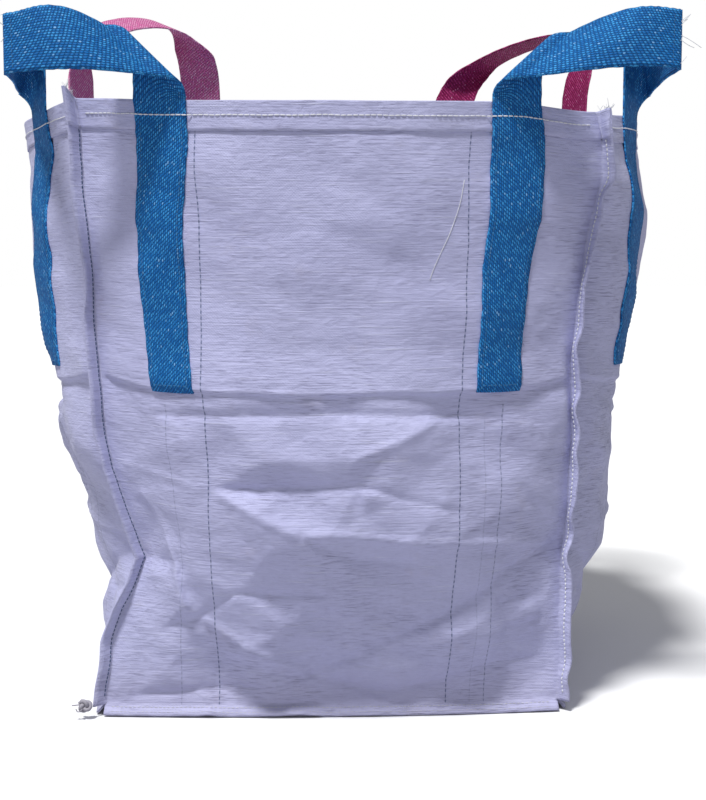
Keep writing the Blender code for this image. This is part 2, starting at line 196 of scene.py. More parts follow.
# Whether each of those lines is a ridge (1) or a valley (-1).
CREASE_WAYS = (-1, 1, -1, -1, 1, -1, -1, 1, -1, -1, -1, 1, -1)
CREASE_EDGE = 0.0030
CREASE_WIDTH = 0.0060
CREASE_STRENGTH = {"front": 0.78, "right": 0.75, "rear": 0.75, "left": 0.75}
CREASE_STRETCH = {"front": 1.0, "right": 0.93, "rear": 1.0, "left": 0.96}
CREASES_TO_Z = 0.487

# Soft folds: height, then how fast the noise's two coordinates run with x, z, x and z, an offset, a seed.
SOFT_FOLDS = (
    (0.0065, 7, 0, 11.9, 6, 3.1, 11),
    (0.0046, 14, 9, 0, 15, 0, 21),
    (0.0009, 26, 0, 14, 60, 0, 31),
    (0.0005, 60, 0, -30, 110, 0, 36),
)
# Folds with a sharp crest: the same, after a height that is added below the fold ring.
SHARP_FOLDS = (
    (0.0060, 0.0060, 5, 3.5, -5, 8, 1.3, 201),
    (0.0030, 0.0018, 10, -6, 8, 15, 4.1, 211),
)
# The level fold round the bag: its step, the bead along it, the bead's width and how high the step fades.
RING_STEP = 0.0060
RING_BEAD = 0.0016
RING_BEAD_WIDTH = 0.0032
RING_FADE = 0.070

# How far each seam stands in from its straight line, (height, shift) in metres, for x and for y.
SEAM_IN = {
    "front_left": (
        (
            (0.0, -0.016), (0.045, -0.008), (0.10, 0.002), (0.150, 0.020), (0.228, 0.060),
            (0.30, 0.036), (0.366, 0.018), (0.45, 0.010), (0.7, 0.009), (0.85, 0.006), (0.9, 0.0),
        ),
        ((0.0, 0.0), (0.228, 0.012), (0.45, 0.0), (0.9, 0.0)),
    ),
    "front_right": (
        (
            (0.0, 0.0), (0.10, 0.002), (0.19, 0.008), (0.25, 0.004), (0.40, 0.004), (0.52, 0.011),
            (0.62, 0.009), (0.72, -0.002), (0.80, -0.014), (0.87, -0.010), (0.9, 0.0),
        ),
        (
            (0.0, 0.0), (0.20, 0.004), (0.25, 0.018), (0.31, 0.004), (0.50, 0.006), (0.62, 0.0),
            (0.72, 0.008), (0.80, 0.0), (0.9, 0.0),
        ),
    ),
    "rear_right": (
        ((0.0, 0.0), (0.16, 0.010), (0.24, 0.034), (0.33, 0.012), (0.50, 0.006), (0.9, 0.0)),
        ((0.0, 0.0), (0.24, 0.008), (0.50, 0.004), (0.9, 0.0)),
    ),
    "rear_left": (
        ((0.0, 0.0), (0.20, 0.006), (0.28, 0.016), (0.36, 0.004), (0.50, 0.008), (0.9, 0.0)),
        ((0.0, 0.0), (0.18, 0.014), (0.28, 0.030), (0.38, 0.010), (0.52, 0.006), (0.9, 0.0)),
    ),
}

# Corner flaps: their lean and crumple in radians, and how high their puckered tops stand.
FLAP_LEAN = {"front_left": 0.10, "front_right": -0.35, "rear_right": 0.2, "rear_left": -0.1}
FLAP_CRUMPLE = {"front_left": 0.10, "front_right": 0.34, "rear_right": 0.14, "rear_left": 0.14}
FLAP_LIFT = {"front_left": 0.016, "front_right": 0.005, "rear_right": 0.006, "rear_left": 0.008}

# How far the rim dips towards each corner, in metres.
CORNER_DIP = {"front_left": -0.004, "front_right": 0.013, "rear_right": 0.0, "rear_left": 0.0}

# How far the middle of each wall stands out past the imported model's, (height, metres).
EXTRA_BULGE = {
    "front": (
        (0.0, 0.0), (0.04, 0.016), (0.12, 0.036), (0.20, 0.040), (0.30, 0.030), (0.40, 0.012),
        (0.50, 0.0), (0.9, 0.0),
    ),
    "right": (
        (0.0, 0.0), (0.08, 0.018), (0.13, 0.026), (0.18, 0.034), (0.22, 0.038), (0.26, 0.017),
        (0.34, -0.012), (0.405, -0.016), (0.484, -0.024), (0.52, -0.015), (0.56, -0.004),
        (0.62, 0.008), (0.76, 0.013), (0.83, 0.002), (0.9, 0.0),
    ),
    "rear": ((0.0, 0.0), (0.2, 0.010), (0.487, -0.014), (0.6, -0.006), (0.9, 0.0)),
    "left": (
        (0.0, 0.0), (0.05, 0.006), (0.104, 0.004), (0.171, -0.016), (0.22, -0.018), (0.29, -0.036),
        (0.322, -0.038), (0.371, -0.026), (0.42, -0.030), (0.484, -0.044), (0.52, -0.038),
        (0.54, -0.028), (0.573, -0.018), (0.63, -0.010), (0.78, -0.007), (0.9, 0.0),
    ),
}

# How square the level section of each wall is below the rim: 2 is a plain arc.
BELLY_POWER = {"front": 2.2, "right": 3.0, "rear": 2.3, "left": 3.0}

# Across and half width of each front leg, in shares of the wall: (height, middle, half width).
FRONT_LEGS = {
    -1: (
        (0.49, -0.650, 0.087), (0.556, -0.670, 0.087), (0.635, -0.684, 0.093), (0.742, -0.685, 0.095),
        (0.833, -0.653, 0.096), (0.9, -0.655, 0.098),
    ),
    1: (
        (0.49, 0.630, 0.088), (0.59, 0.633, 0.093), (0.664, 0.640, 0.095), (0.737, 0.663, 0.098),
        (0.834, 0.662, 0.097), (0.9, 0.655, 0.098),
    ),
}
OTHER_LEGS = ((0.49, 0.632, 0.090), (0.60, 0.648, 0.094), (0.74, 0.662, 0.096), (0.9, 0.650, 0.098))


# ---- Number fields ---------------------------------------------------------------------------------


def smooth(x):
    x = np.clip(x, 0.0, 1.0)
    return x * x * (3 - 2 * x)


def unit(v):
    v = np.asarray(v, float)
    return v / np.linalg.norm(v, axis=-1, keepdims=True)


def along_table(table, z, column=1):
    return np.interp(z, [row[0] for row in table], [row[column] for row in table])


def value_noise(u, v, seed):
    """Smooth noise from -1 to 1, one cell per unit."""
    table = np.random.default_rng(seed).uniform(-1, 1, (64, 64))
    i, j = np.floor(u).astype(int), np.floor(v).astype(int)
    fu, fv = smooth(u - i), smooth(v - j)
    low = table[i % 64, j % 64] * (1 - fu) + table[(i + 1) % 64, j % 64] * fu
    high = table[i % 64, (j + 1) % 64] * (1 - fu) + table[(i + 1) % 64, (j + 1) % 64] * fu
    return low * (1 - fv) + high * fv


def line_noise(x, rate, row, seed):
    """The same noise along a line, which is row of the table."""
    return value_noise(x * rate, x * 0 + row, seed)


def blur(field, rounds):
    """A soft edge for the creases: each round mixes a point with its neighbours."""
    for _ in range(rounds):
        padded = np.pad(field, 1, mode="edge")
        field = (
            padded[1:-1, 1:-1] * 0.4
            + (padded[:-2, 1:-1] + padded[2:, 1:-1] + padded[1:-1, :-2] + padded[1:-1, 2:]) * 0.15
        )
    return field


def crease_field(x, z):
    """How far the crease net stands out at each point, in metres."""
    names = list(CREASE_NODES)
    places = [Vector(CREASE_NODES[n][:2]) for n in names]
    heights = [CREASE_NODES[n][2] for n in names]
    edges = []
    for line in CREASE_LINES:
        edges += [(names.index(p), names.index(q)) for p, q in zip(line, line[1:])]
    points, _, faces, origin, _, _ = delaunay_2d_cdt(places, edges, [], 0, 1e-6)
    known = [heights[o[0]] if o else None for o in origin]
    out = np.zeros_like(x)
    for face in faces:
        corner = [points[i] for i in face]
        level = [known[i] if known[i] is not None else 0.0 for i in face]
        (x0, z0), (x1, z1), (x2, z2) = corner
        area = (x1 - x0) * (z2 - z0) - (x2 - x0) * (z1 - z0)
        if abs(area) < 1e-9:
            continue
        w1 = ((x - x0) * (z2 - z0) - (x2 - x0) * (z - z0)) / area
        w2 = ((x1 - x0) * (z - z0) - (x - x0) * (z1 - z0)) / area
        inside = (w1 >= -1e-6) & (w2 >= -1e-6) & (w1 + w2 <= 1 + 1e-6)
        value = level[0] + w1 * (level[1] - level[0]) + w2 * (level[2] - level[0])
        out[inside] = value[inside]
    return out / 1000.0


def crease_edges(x, z):
    """The sharp edge along each crease, in metres."""
    out = np.zeros_like(x)
    for line, way in zip(CREASE_LINES, CREASE_WAYS):
        near = np.full_like(x, 1.0)
        for p, q in zip(line, line[1:]):
            (x0, z0), (x1, z1) = CREASE_NODES[p][:2], CREASE_NODES[q][:2]
            length = (x1 - x0) ** 2 + (z1 - z0) ** 2
            share = np.clip(((x - x0) * (x1 - x0) + (z - z0) * (z1 - z0)) / length, 0, 1)
            near = np.minimum(near, np.hypot(x - x0 - share * (x1 - x0), z - z0 - share * (z1 - z0)))
        out = out + way * CREASE_EDGE * np.exp(-((near / CREASE_WIDTH) ** 2))
    return out


# ---- The walls -------------------------------------------------------------------------------------


def turn_level(vector, quarters):
    """The vector after this many quarter turns about the bag's upright axis."""
    x, y, z = np.moveaxis(np.asarray(vector, float), -1, 0)
    for _ in range(quarters % 4):
        x, y = -y, x
    return np.stack((x, y, z), axis=-1)


def bowed_normal(slope):
    """The outward way of a plain wall that bows out this fast across."""
    return unit(np.stack((slope, -np.ones_like(slope), np.zeros_like(slope)), axis=-1))


def rows_of_wall():
    """Heights of the lattice rows, closest at the foot, the fold ring and the hem."""
    foot = np.linspace(0.0, 0.030, 8)
    low = np.arange(0.0345, 0.474, 0.0043)
    ring = np.arange(0.475, 0.508, 0.0022)
    high = np.arange(0.5125, 0.854, 0.0055)
    return np.concatenate((foot, low, ring, high, np.linspace(0.856, RIM_Z, 13)))


def seam_shift(corner, z):
    """Level shift of a seam in the bag's frame, towards the middle of the bag."""
    sx, sy = CORNER_WAY[CORNERS.index(corner)]
    for_x, for_y = SEAM_IN[corner]
    wobble = 0.0025 * line_noise(z, 17, 3, CORNERS.index(corner) + 40) * smooth(z / 0.06)
    x = -sx * (along_table(for_x, z) + wobble)
    y = -sy * (along_table(for_y, z) - wobble)
    return np.stack((x, y, -CORNER_DIP[corner] * (z / RIM_Z) ** 3), axis=-1)


def fold_noise(across, z, run, k):
    """One layer of folds for wall k, from a row of the tables above."""
    u_x, u_z, v_x, v_z, offset, seed = run
    return value_noise(across * u_x + z * u_z + offset * k, z * v_z + across * v_x, seed + k)


def crease_heights(side, a, z):
    """How far the cloth stands out from the plain wall, in metres."""
    k = SIDES.index(side)
    across = a * 0.360
    hand = 1 if side in ("front", "left") else -1
    strength, stretch = CREASE_STRENGTH[side], CREASE_STRETCH[side]
    net_x, net_z = hand * across * stretch, np.minimum(z, CREASES_TO_Z)
    net = crease_field(net_x, net_z) * strength + crease_edges(net_x, net_z)
    low = smooth((0.50 - z) / 0.04)
    net = net * np.where(z < CREASES_TO_Z, 1.0, low)
    soft = 0.0
    for height, *run in SOFT_FOLDS:
        soft = soft + height * fold_noise(across, z, run, k)
    soft = soft * (0.90 + 0.10 * low)
    for below, height, *run in SHARP_FOLDS:
        soft = soft + (height + below * low) * (0.4 - np.abs(fold_noise(across, z, run, k)))
    ring_z = FOLD_RING_Z + 0.002 * line_noise(across, 14, 5, 51 + k) + 0.016 * np.abs(a) ** 6
    off = z - ring_z
    ring = RING_STEP * smooth((off + 0.006) / 0.010) * smooth((RING_FADE - off) / RING_FADE)
    ring = ring + RING_BEAD * np.exp(-((off / RING_BEAD_WIDTH) ** 2))
    under_hem = 0.0004 * np.exp(-(((z - RIM_Z + HEM_DEPTH) / 0.004) ** 2))
    fade = smooth((1 - np.abs(a)) / 0.07) * smooth(z / 0.006)
    top = 1 - 0.55 * smooth((z - 0.82) / 0.06)
    return (net + (soft + ring) * top * smooth((z + 0.01) / 0.05) - under_hem) * fade


class Wall:
    """One wall as a lattice of points and outward normals, in the wall's own front-facing place."""

    def __init__(self, side):
        self.side = side
        self.k = SIDES.index(side)
        self.a = np.linspace(-1, 1, ACROSS_STEPS + 1)
        self.z = rows_of_wall()
        a, z = np.meshgrid(self.a, self.z)
        half = BASE_HALF + (RIM_HALF - BASE_HALF) * z / RIM_Z
        bulge = BASE_BULGE + (RIM_BULGE - BASE_BULGE) * smooth(z / BULGE_FROM_Z)
        more = along_table(EXTRA_BULGE[side], z)
        power = 2.0 + (BELLY_POWER[side] - 2.0) * smooth((0.87 - z) / 0.12)
        y = -half - (bulge + more) * (1 - np.abs(a) ** power)
        up = BASE_RISE + (z / RIM_Z) * (RIM_Z - BASE_RISE - RIM_SAG * (1 - a * a))
        points = np.stack((a * half, y, up), axis=-1)
        for end in (-1, 1):
            shift = turn_level(seam_shift(self.corner(end), z), -self.k % 4)
            near = smooth(1 - (1 - end * a) / 0.42)
            points = points + shift * near[..., None]
        plain = bowed_normal(2 * bulge * a / half)
        out = blur(crease_heights(side, a, z), 1)
        self.points = points + plain * out[..., None]
        down = np.gradient(self.points, axis=0)
        over = np.gradient(self.points, axis=1)
        self.normals = unit(np.cross(over, down))

    def corner(self, side):
        return CORNERS[(self.k + (side > 0)) % 4]

    def sample(self, a, z, out=0.0):
        """Points on the wall at shares a and heights z, moved out along its normal."""
        a, z = np.broadcast_arrays(np.asarray(a, float), np.asarray(z, float))
        i = np.clip(np.searchsorted(self.a, a) - 1, 0, len(self.a) - 2)
        j = np.clip(np.searchsorted(self.z, z) - 1, 0, len(self.z) - 2)
        u = ((a - self.a[i]) / (self.a[i + 1] - self.a[i]))[..., None]
        v = ((z - self.z[j]) / (self.z[j + 1] - self.z[j]))[..., None]

        def mix(grid):
            low = grid[j, i] * (1 - u) + grid[j, i + 1] * u
            high = grid[j + 1, i] * (1 - u) + grid[j + 1, i + 1] * u
            return low * (1 - v) + high * v

        return mix(self.points) + mix(self.normals) * np.asarray(out)[..., None]

    def normal(self, a, z):
        return unit(self.sample(a, z, 1.0) - self.sample(a, z, 0.0))

    def to_bag(self, points):
        return turn_level(points, self.k)


def flap_ways(wall, side, z):
    """Along a corner's seam flap and from its other ply to this wall's, in the wall's own place."""
    corner = wall.corner(side)
    seed = CORNERS.index(corner) + 60
    lean, crumple = FLAP_LEAN[corner], FLAP_CRUMPLE[corner]
    angle = lean + 0.30 * line_noise(z, 9, 1, seed) + crumple * line_noise(z, 31, 7, seed)
    angle = angle * smooth(z / 0.05)
    along = np.array((side, -1.0, 0.0)) / math.sqrt(2)
    across = np.array((-side, -1.0, 0.0)) / math.sqrt(2)
    c, s = np.cos(angle), np.sin(angle)

    def spun(w):
        return np.stack((w[0] * c - w[1] * s, w[0] * s + w[1] * c, 0 * c), axis=-1)

    return spun(along), spun(across)


def flap_point(wall, side, z, reach, out=0.0):
    """A point of this wall's ply of a corner flap."""
    along, across = flap_ways(wall, side, z)
    root = wall.sample(float(side), z)
    reach = np.asarray(reach, float)
    out = np.asarray(out, float)
    return root + across * ((FABRIC + GAP) / 2 + out)[..., None] + along * reach[..., None]


def foot_point(wall, a, reach, ply, out=0.0):
    """A point of the base seam's flap, on the wall's ply (+1) or the base's (-1)."""
    a = np.asarray(a, float)
    normal = bowed_normal(2 * BASE_BULGE * a / BASE_HALF)
    waves = 0.22 * value_noise(a * 5 + 2.3 * wall.k, a * 0 + 2, 71)
    waves = waves + 0.10 * line_noise(a, 19, 4, 72)
    ripple = np.minimum(BASE_FLAP_SLOPE + waves * (1 - a**6), BASE_FLAP_STEEPEST)
    ripple = ripple[..., None]
    along = normal * np.cos(ripple) - UP * np.sin(ripple)
    across = normal * np.sin(ripple) + UP * np.cos(ripple)
    root = wall.sample(a, 0.0)
    return root + along * reach + across * (ply * (FABRIC + FOOT_GAP) / 2 + out)


# ---- Meshes ----------------------------------------------------------------------------------------


def add_object(name, data):
    obj = bpy.data.objects.new(name, data)
    bpy.context.scene.collection.objects.link(obj)
    return obj


def new_object(name, points, faces, material, body="bag", uv=None):
    mesh = bpy.data.meshes.new(name)
    mesh.from_pydata([tuple(p) for p in points], [], faces)
    mesh.validate()
    if uv is not None:
        layer = mesh.uv_layers.new(name="metres")
        index = np.empty(len(mesh.loops), np.int32)
        mesh.loops.foreach_get("vertex_index", index)
        layer.data.foreach_set("uv", np.asarray(uv, np.float32)[index].ravel())
    mesh.materials.append(material)
    mesh.shade_smooth()
    obj = add_object(name, mesh)
    if body:
        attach(obj, body)
    return obj


def grid_faces(rows, columns, keep=None, start=0):
    faces = []
    for j in range(rows - 1):
        for i in range(columns - 1):
            if keep is None or keep(i, j):
                p = start + j * columns + i
                faces.append((p, p + 1, p + columns + 1, p + columns))
    return faces


def thicken(obj, thickness):
    shell = obj.modifiers.new("thickness", "SOLIDIFY")
    shell.thickness = thickness
    shell.offset = 0.0
    shell.use_even_offset = False
    return obj


FLAP_STEPS = (1.0, 0.66, 0.33)
FLAP_REACHES = np.array([SEAM_FLAP * s for s in FLAP_STEPS] + [0.0])
FOOT_STEPS = (1.0, 0.66, 0.33)
FOLD_STEPS = (0, 30, 60, 90, 120, 150, 180)


def corner_lift(wall, side, z, reach):
    """The puckered top of a corner flap, where the two hems meet."""
    corner = wall.corner(side)
    return UP * FLAP_LIFT[corner] * smooth((z - 0.84) / 0.06) * smooth(reach / SEAM_FLAP)


def wall_rows(wall):
    """Rows of the panel from the edge of the foot flap to the free edge of the hem."""
    rows = [("foot", BASE_FLAP * s) for s in FOOT_STEPS]
    rows += [("wall", z) for z in wall.z[:-1]]
    rows += [("fold", angle) for angle in FOLD_STEPS]
    rows += [("hem", d) for d in np.linspace(0.003, HEM_DEPTH, 9)]
    return rows


def panel_row(wall, kind, value):
    """All points of one row of a wall's panel."""
    shares = wall.a[1:-1]
    if kind == "foot":
        ends = np.concatenate((np.full(4, -1.0), shares, np.full(4, 1.0)))
        return foot_point(wall, ends, value, 1)
    z, out, lift = value, 0.0, 0.0
    if kind == "fold":
        angle = math.radians(value)
        z, out, lift = RIM_Z, HEM_FOLD / 2 * (1 - math.cos(angle)), HEM_FOLD / 2 * math.sin(angle)
    if kind == "hem":
        z, out = RIM_Z - value, HEM_FOLD
    loose = 0.0
    if kind == "hem":
        free = smooth((value - HEM_LINE) / (HEM_DEPTH - HEM_LINE))
        loose = 0.0009 * free * (0.5 + 0.5 * line_noise(shares, 9, wall.k, 81))
    middle = wall.sample(shares, np.full_like(shares, z), out + loose) + UP * lift
    if kind == "wall" and value == 0.0:
        middle = foot_point(wall, shares, 0.0, 1)
    heights = np.full(4, z)
    ends = []
    for side in (-1, 1):
        flap = flap_point(wall, side, heights, FLAP_REACHES, np.full(4, out)) + UP * lift
        ends.append(flap + np.array([corner_lift(wall, side, z, r) for r in FLAP_REACHES]))
    return np.concatenate((ends[0], middle, ends[1][::-1]))


def make_wall(wall, material):
    rows = wall_rows(wall)
    lines = [panel_row(wall, kind, value) for kind, value in rows]
    points = np.concatenate(lines)
    columns = len(lines[0])
    flap = len(FLAP_STEPS) + 1

    def keep(i, j):
        on_flap = i < flap - 1 or i > columns - flap - 1
        return not (on_flap and j < len(FOOT_STEPS))

    half = 0.398
    across = np.concatenate((-half - FLAP_REACHES, wall.a[1:-1] * half, half + FLAP_REACHES[::-1]))
    heights = []
    for kind, value in rows:
        if kind == "foot":
            heights.append(-value)
        elif kind == "wall":
            heights.append(value)
        elif kind == "fold":
            heights.append(RIM_Z + value * 1e-5)
        else:
            heights.append(RIM_Z + 0.004 + value)
    uv = [(x + wall.k * WALL_UV_STEP, h) for h in heights for x in across]
    name = f"{wall.side}_wall_cloth"
    points = wall.to_bag(points)
    obj = new_object(name, points, grid_faces(len(rows), columns, keep), material, uv=uv)
    thicken(obj, FABRIC)
    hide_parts(f"{wall.side}_panel")
    return obj


def make_base(walls, material):
    """The base: flat on the floor, lifted at its edges to the seams, with its flaps under the walls'."""
    inner = np.linspace(-1, 1, 61)
    flaps = np.array([BASE_FLAP * s for s in FOOT_STEPS])
    lines = [(-1, r) for r in flaps] + [(s, 0.0) for s in inner] + [(1, r) for r in flaps[::-1]]
    count = len(lines)

    def place(s, rs, t, rt):
        if rt or (abs(t) == 1 and not rs):
            k, share = (0, s) if t < 0 else (2, -s)
            return walls[k].to_bag(foot_point(walls[k], share, rt, -1))
        if rs or abs(s) == 1:
            k, share = (1, t) if s > 0 else (3, -t)
            return walls[k].to_bag(foot_point(walls[k], share, rs, -1))
        x = s * (BASE_HALF + BASE_BULGE * (1 - t * t))
        y = t * (BASE_HALF + BASE_BULGE * (1 - s * s))
        edge = max(abs(s), abs(t))
        rise = BASE_RISE - FOOT_GAP - FABRIC
        lift = rise * smooth((edge - 1 + BASE_EDGE) / BASE_EDGE)
        crease = 0.0012 * (1 + value_noise(np.array(x * 9), np.array(y * 9), 91)) * smooth((1 - edge) / 0.1)
        return np.array((x, y, FABRIC / 2 + lift + crease))

    points = [place(s, rs, t, rt) for t, rt in lines for s, rs in lines]
    uv = [(s * BASE_HALF + 20, t * BASE_HALF) for t, _ in lines for s, _ in lines]
    last = count - len(flaps) - 1

    def keep(i, j):
        flap_i = i < len(flaps) or i >= last
        flap_j = j < len(flaps) or j >= last
        return not (flap_i and flap_j)

    obj = new_object("base_cloth", points, grid_faces(count, count, keep), material, uv=uv)
    thicken(obj, FABRIC)
    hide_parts("base_panel")
    return obj


# ---- Webbing ---------------------------------------------------------------------------------------


WEB_COLUMNS = 15


def walls_at(corner_index):
    """The front or rear wall and the side wall that meet at a corner."""
    return WALLS[0 if corner_index < 2 else 2], WALLS[1 if corner_index in (1, 2) else 3]


def hand_at(wall, corner_index):
    """Which end of the wall the corner is: -1 or 1."""
    return -1 if wall.k == corner_index else 1


def leg_table(wall, hand):
    if wall.side == "front":
        return FRONT_LEGS[hand]
    return tuple((z, hand * a, w) for z, a, w in OTHER_LEGS)


def leg_share(wall, hand, v, z):
    """Where a leg's points are across the wall."""
    table = leg_table(wall, hand)
    return along_table(table, z, 1) + hand * along_table(table, z, 2) * (2 * v - 1)


def leg_out(z):
    """How far the middle of a leg stands off the wall: it steps out over the hem."""
    on_wall = FABRIC / 2 + GAP + WEBBING / 2
    return on_wall + (HEM_FOLD + 0.0006) * smooth((z - RIM_Z + HEM_DEPTH + HEM_RAMP) / HEM_RAMP)


def leg_rows(lowest=LEG_END_Z):
    return np.concatenate((np.linspace(lowest, 0.836, 46), np.arange(0.840, RIM_Z - 0.001, 0.005), [RIM_Z]))


def leg_points(wall, hand, v, z):
    """Points of a leg: v from 0 at its edge nearer the wall's middle to 1 at its outer edge."""
    a = leg_share(wall, hand, v, z)
    crown = 0.0010 * (1 - (2 * v - 1) ** 2)
    wave = 0.0009 * value_noise(z * 24 + hand * 3, v * 1.5, 101 + wall.k)
    return wall.sample(a, z, leg_out(z) + crown + wave * smooth((z - LEG_END_Z) / 0.03))


def exit_frame(wall, hand):
    """At the rim: the leg's middle, its way towards the corner and its outward normal."""
    v = np.linspace(0, 1, WEB_COLUMNS)
    row = leg_points(wall, hand, v, np.full_like(v, RIM_Z))
    way = row[-1] - row[0]
    way[2] = 0
    way = unit(way)
    return row, way, unit(np.cross(UP, way) * hand * -1)


def hermite(p, dp, q, dq, t):
    t = t[:, None, None]
    return (
        p * (2 * t**3 - 3 * t**2 + 1)
        + dp * (t**3 - 2 * t**2 + t)
        + q * (3 * t**2 - 2 * t**3)
        + dq * (t**3 - t**2)
    )


FOLD_ANGLE = math.radians(44)
FOLD_RADIUS = 0.0130
# Where each front loop folds outside its corner: the middle of the band.
LOOP_APEX = ((-0.4480, -0.4950, 0.9635), (0.4620, -0.4950, 0.9740))


# How far each half of a front loop bows out from its wall, and how much its middle is crowned.
NEAR_STAND_OFF = 0.036
FAR_STAND_OFF = 0.012
RUN_CROWN = 0.006
RUN_STEPS = 34
# The rear arches: height, how far they rise towards their rear legs, lean to the right, tilt of the top.
ARCHES = {"rear_right": (0.200, -0.012, 0.062, 0.0), "rear_left": (0.226, 0.026, 0.0, 0.36)}
ARCH_SQUARE = 0.32
ARCH_LEAN = 0.10
ARCH_STEPS = 66
ARCH_BLEND = 0.5


def folded_half(wall, hand, apex, arrive, stand_off):
    """Half of a front loop: up from the rim, over a slanting fold, and along on edge to the apex.

    apex and arrive, the apex's middle and the way the band reaches it, are in the wall's own place.
    stand_off is how far the run bows out from the wall.
    """
    v = np.linspace(0, 1, WEB_COLUMNS)[None, :, None]
    row, way, normal = exit_frame(wall, hand)
    if normal[1] > 0:
        normal = -normal
    line = way * math.cos(FOLD_ANGLE) + UP * math.sin(FOLD_ANGLE)
    over = UP * math.cos(FOLD_ANGLE) - way * math.sin(FOLD_ANGLE)
    after = way * math.sin(2 * FOLD_ANGLE) - UP * math.cos(2 * FOLD_ANGLE)
    flat = row[None, :, :]
    rise = WEBBING_WIDTH * math.tan(FOLD_ANGLE) * v * 0.93 + 0.004
    foot = [flat + UP * rise * t for t in np.linspace(0.12, 1.0, 9)]
    fold = flat + UP * rise
    roll = []
    for angle in np.linspace(0, math.pi, 9)[1:]:
        slide = line * (FOLD_RADIUS * angle * math.tan(FOLD_ANGLE))
        lift = over * FOLD_RADIUS * math.sin(angle)
        turn = normal * FOLD_RADIUS * (1 - math.cos(angle))
        roll.append(fold + slide + lift + turn)
    start = roll[-1][0]
    spread = (v[0] - 0.5) * WEBBING_WIDTH * 1.05
    end = apex[None, :] + UP[None, :] * spread - arrive[None, :] * 0.009
    length = np.linalg.norm(end - start, axis=1, keepdims=True)
    shares = np.linspace(0, 1, RUN_STEPS)[1:]
    run = hermite(start, after * length * 0.9, end, arrive * length * 0.8, shares)
    t = shares[:, None, None]
    swell = 6.75 * t * (1 - t) ** 2
    run = run + normal * swell * (stand_off + RUN_CROWN * (1 - (2 * v - 1) ** 2))
    run = run + UP * swell * (0.004 + 0.012 * v)
    return np.concatenate([np.concatenate(foot), np.concatenate(roll), run])


def corner_turn(before, after, apex_bulge, steps=7):
    """Rows that carry the band round the apex from one half's last row to the other's."""
    t = np.linspace(0, 1, steps + 2)[1:-1, None, None]
    middle = (before + after) / 2 + apex_bulge
    return before * (1 - t) ** 2 + middle * 2 * t * (1 - t) + after * t**2


def leaning_rows(near_wall, near_hand, far_wall, far_hand, corner_index):
    """The free part of a front loop, from the front leg's rim row to the side leg's."""
    sx, _ = CORNER_WAY[corner_index]
    apex = np.array(LOOP_APEX[corner_index])
    near_arrive = unit(np.array((sx, 0.10, -0.10)))
    near = folded_half(near_wall, near_hand, apex, near_arrive, NEAR_STAND_OFF)
    own_apex = turn_level(apex, -far_wall.k % 4)
    far_way = turn_level(unit(np.array((sx * 0.06, -1.0, 0.02))), -far_wall.k % 4)
    far = far_wall.to_bag(folded_half(far_wall, far_hand, own_apex, far_way, FAR_STAND_OFF))[::-1]
    outward = unit(np.array((sx, -1.0, 0.0))) * 0.004
    turn = corner_turn(near[-1][None], far[0][None], outward)
    return np.concatenate((near, turn, far))


def standing_rows(near_wall, near_hand, far_wall, far_hand, corner_index):
    """The free part of a rear loop: an arch that stands up from the rim."""
    sx, sy = CORNER_WAY[corner_index]
    v = np.linspace(0, 1, WEB_COLUMNS)[:, None]
    first, first_way, _ = exit_frame(near_wall, near_hand)
    last, last_way, _ = exit_frame(far_wall, far_hand)
    first, first_way = near_wall.to_bag(first), near_wall.to_bag(first_way)
    last, last_way = far_wall.to_bag(last), far_wall.to_bag(last_way)
    out = unit(np.array((sx, sy, 0.0)))
    start, end = first.mean(axis=0), last.mean(axis=0)
    level, middle = (end - start) / 2, (start + end) / 2
    height, skew, lean_x, tilt = ARCHES[CORNERS[corner_index]]
    rows = []
    for angle in np.linspace(0, math.pi, ARCH_STEPS)[1:-1]:
        rise = math.sin(angle) ** ARCH_SQUARE
        up = height * rise + skew * math.cos(angle) * rise
        lean = out * ARCH_LEAN * height * math.sin(angle) + np.array((lean_x * math.sin(angle), 0.0, 0.0))
        centre = middle - level * math.cos(angle) + UP * up + lean
        share = smooth(math.sin(angle) * 1.8 - 0.25)
        side = first_way if angle < math.pi / 2 else last_way
        across = unit(side * (1 - share) + (out + UP * tilt) * share)
        row = centre + across * (v - 0.5) * WEBBING_WIDTH
        home = smooth(1 - angle / ARCH_BLEND)
        arrive = smooth(1 - (math.pi - angle) / ARCH_BLEND)
        first_end = start + first_way * (v - 0.5) * WEBBING_WIDTH
        last_end = end + last_way * (v - 0.5) * WEBBING_WIDTH
        row = row + (first - first_end) * home + (last - last_end) * arrive
        rows.append(row)
    return np.array(rows)


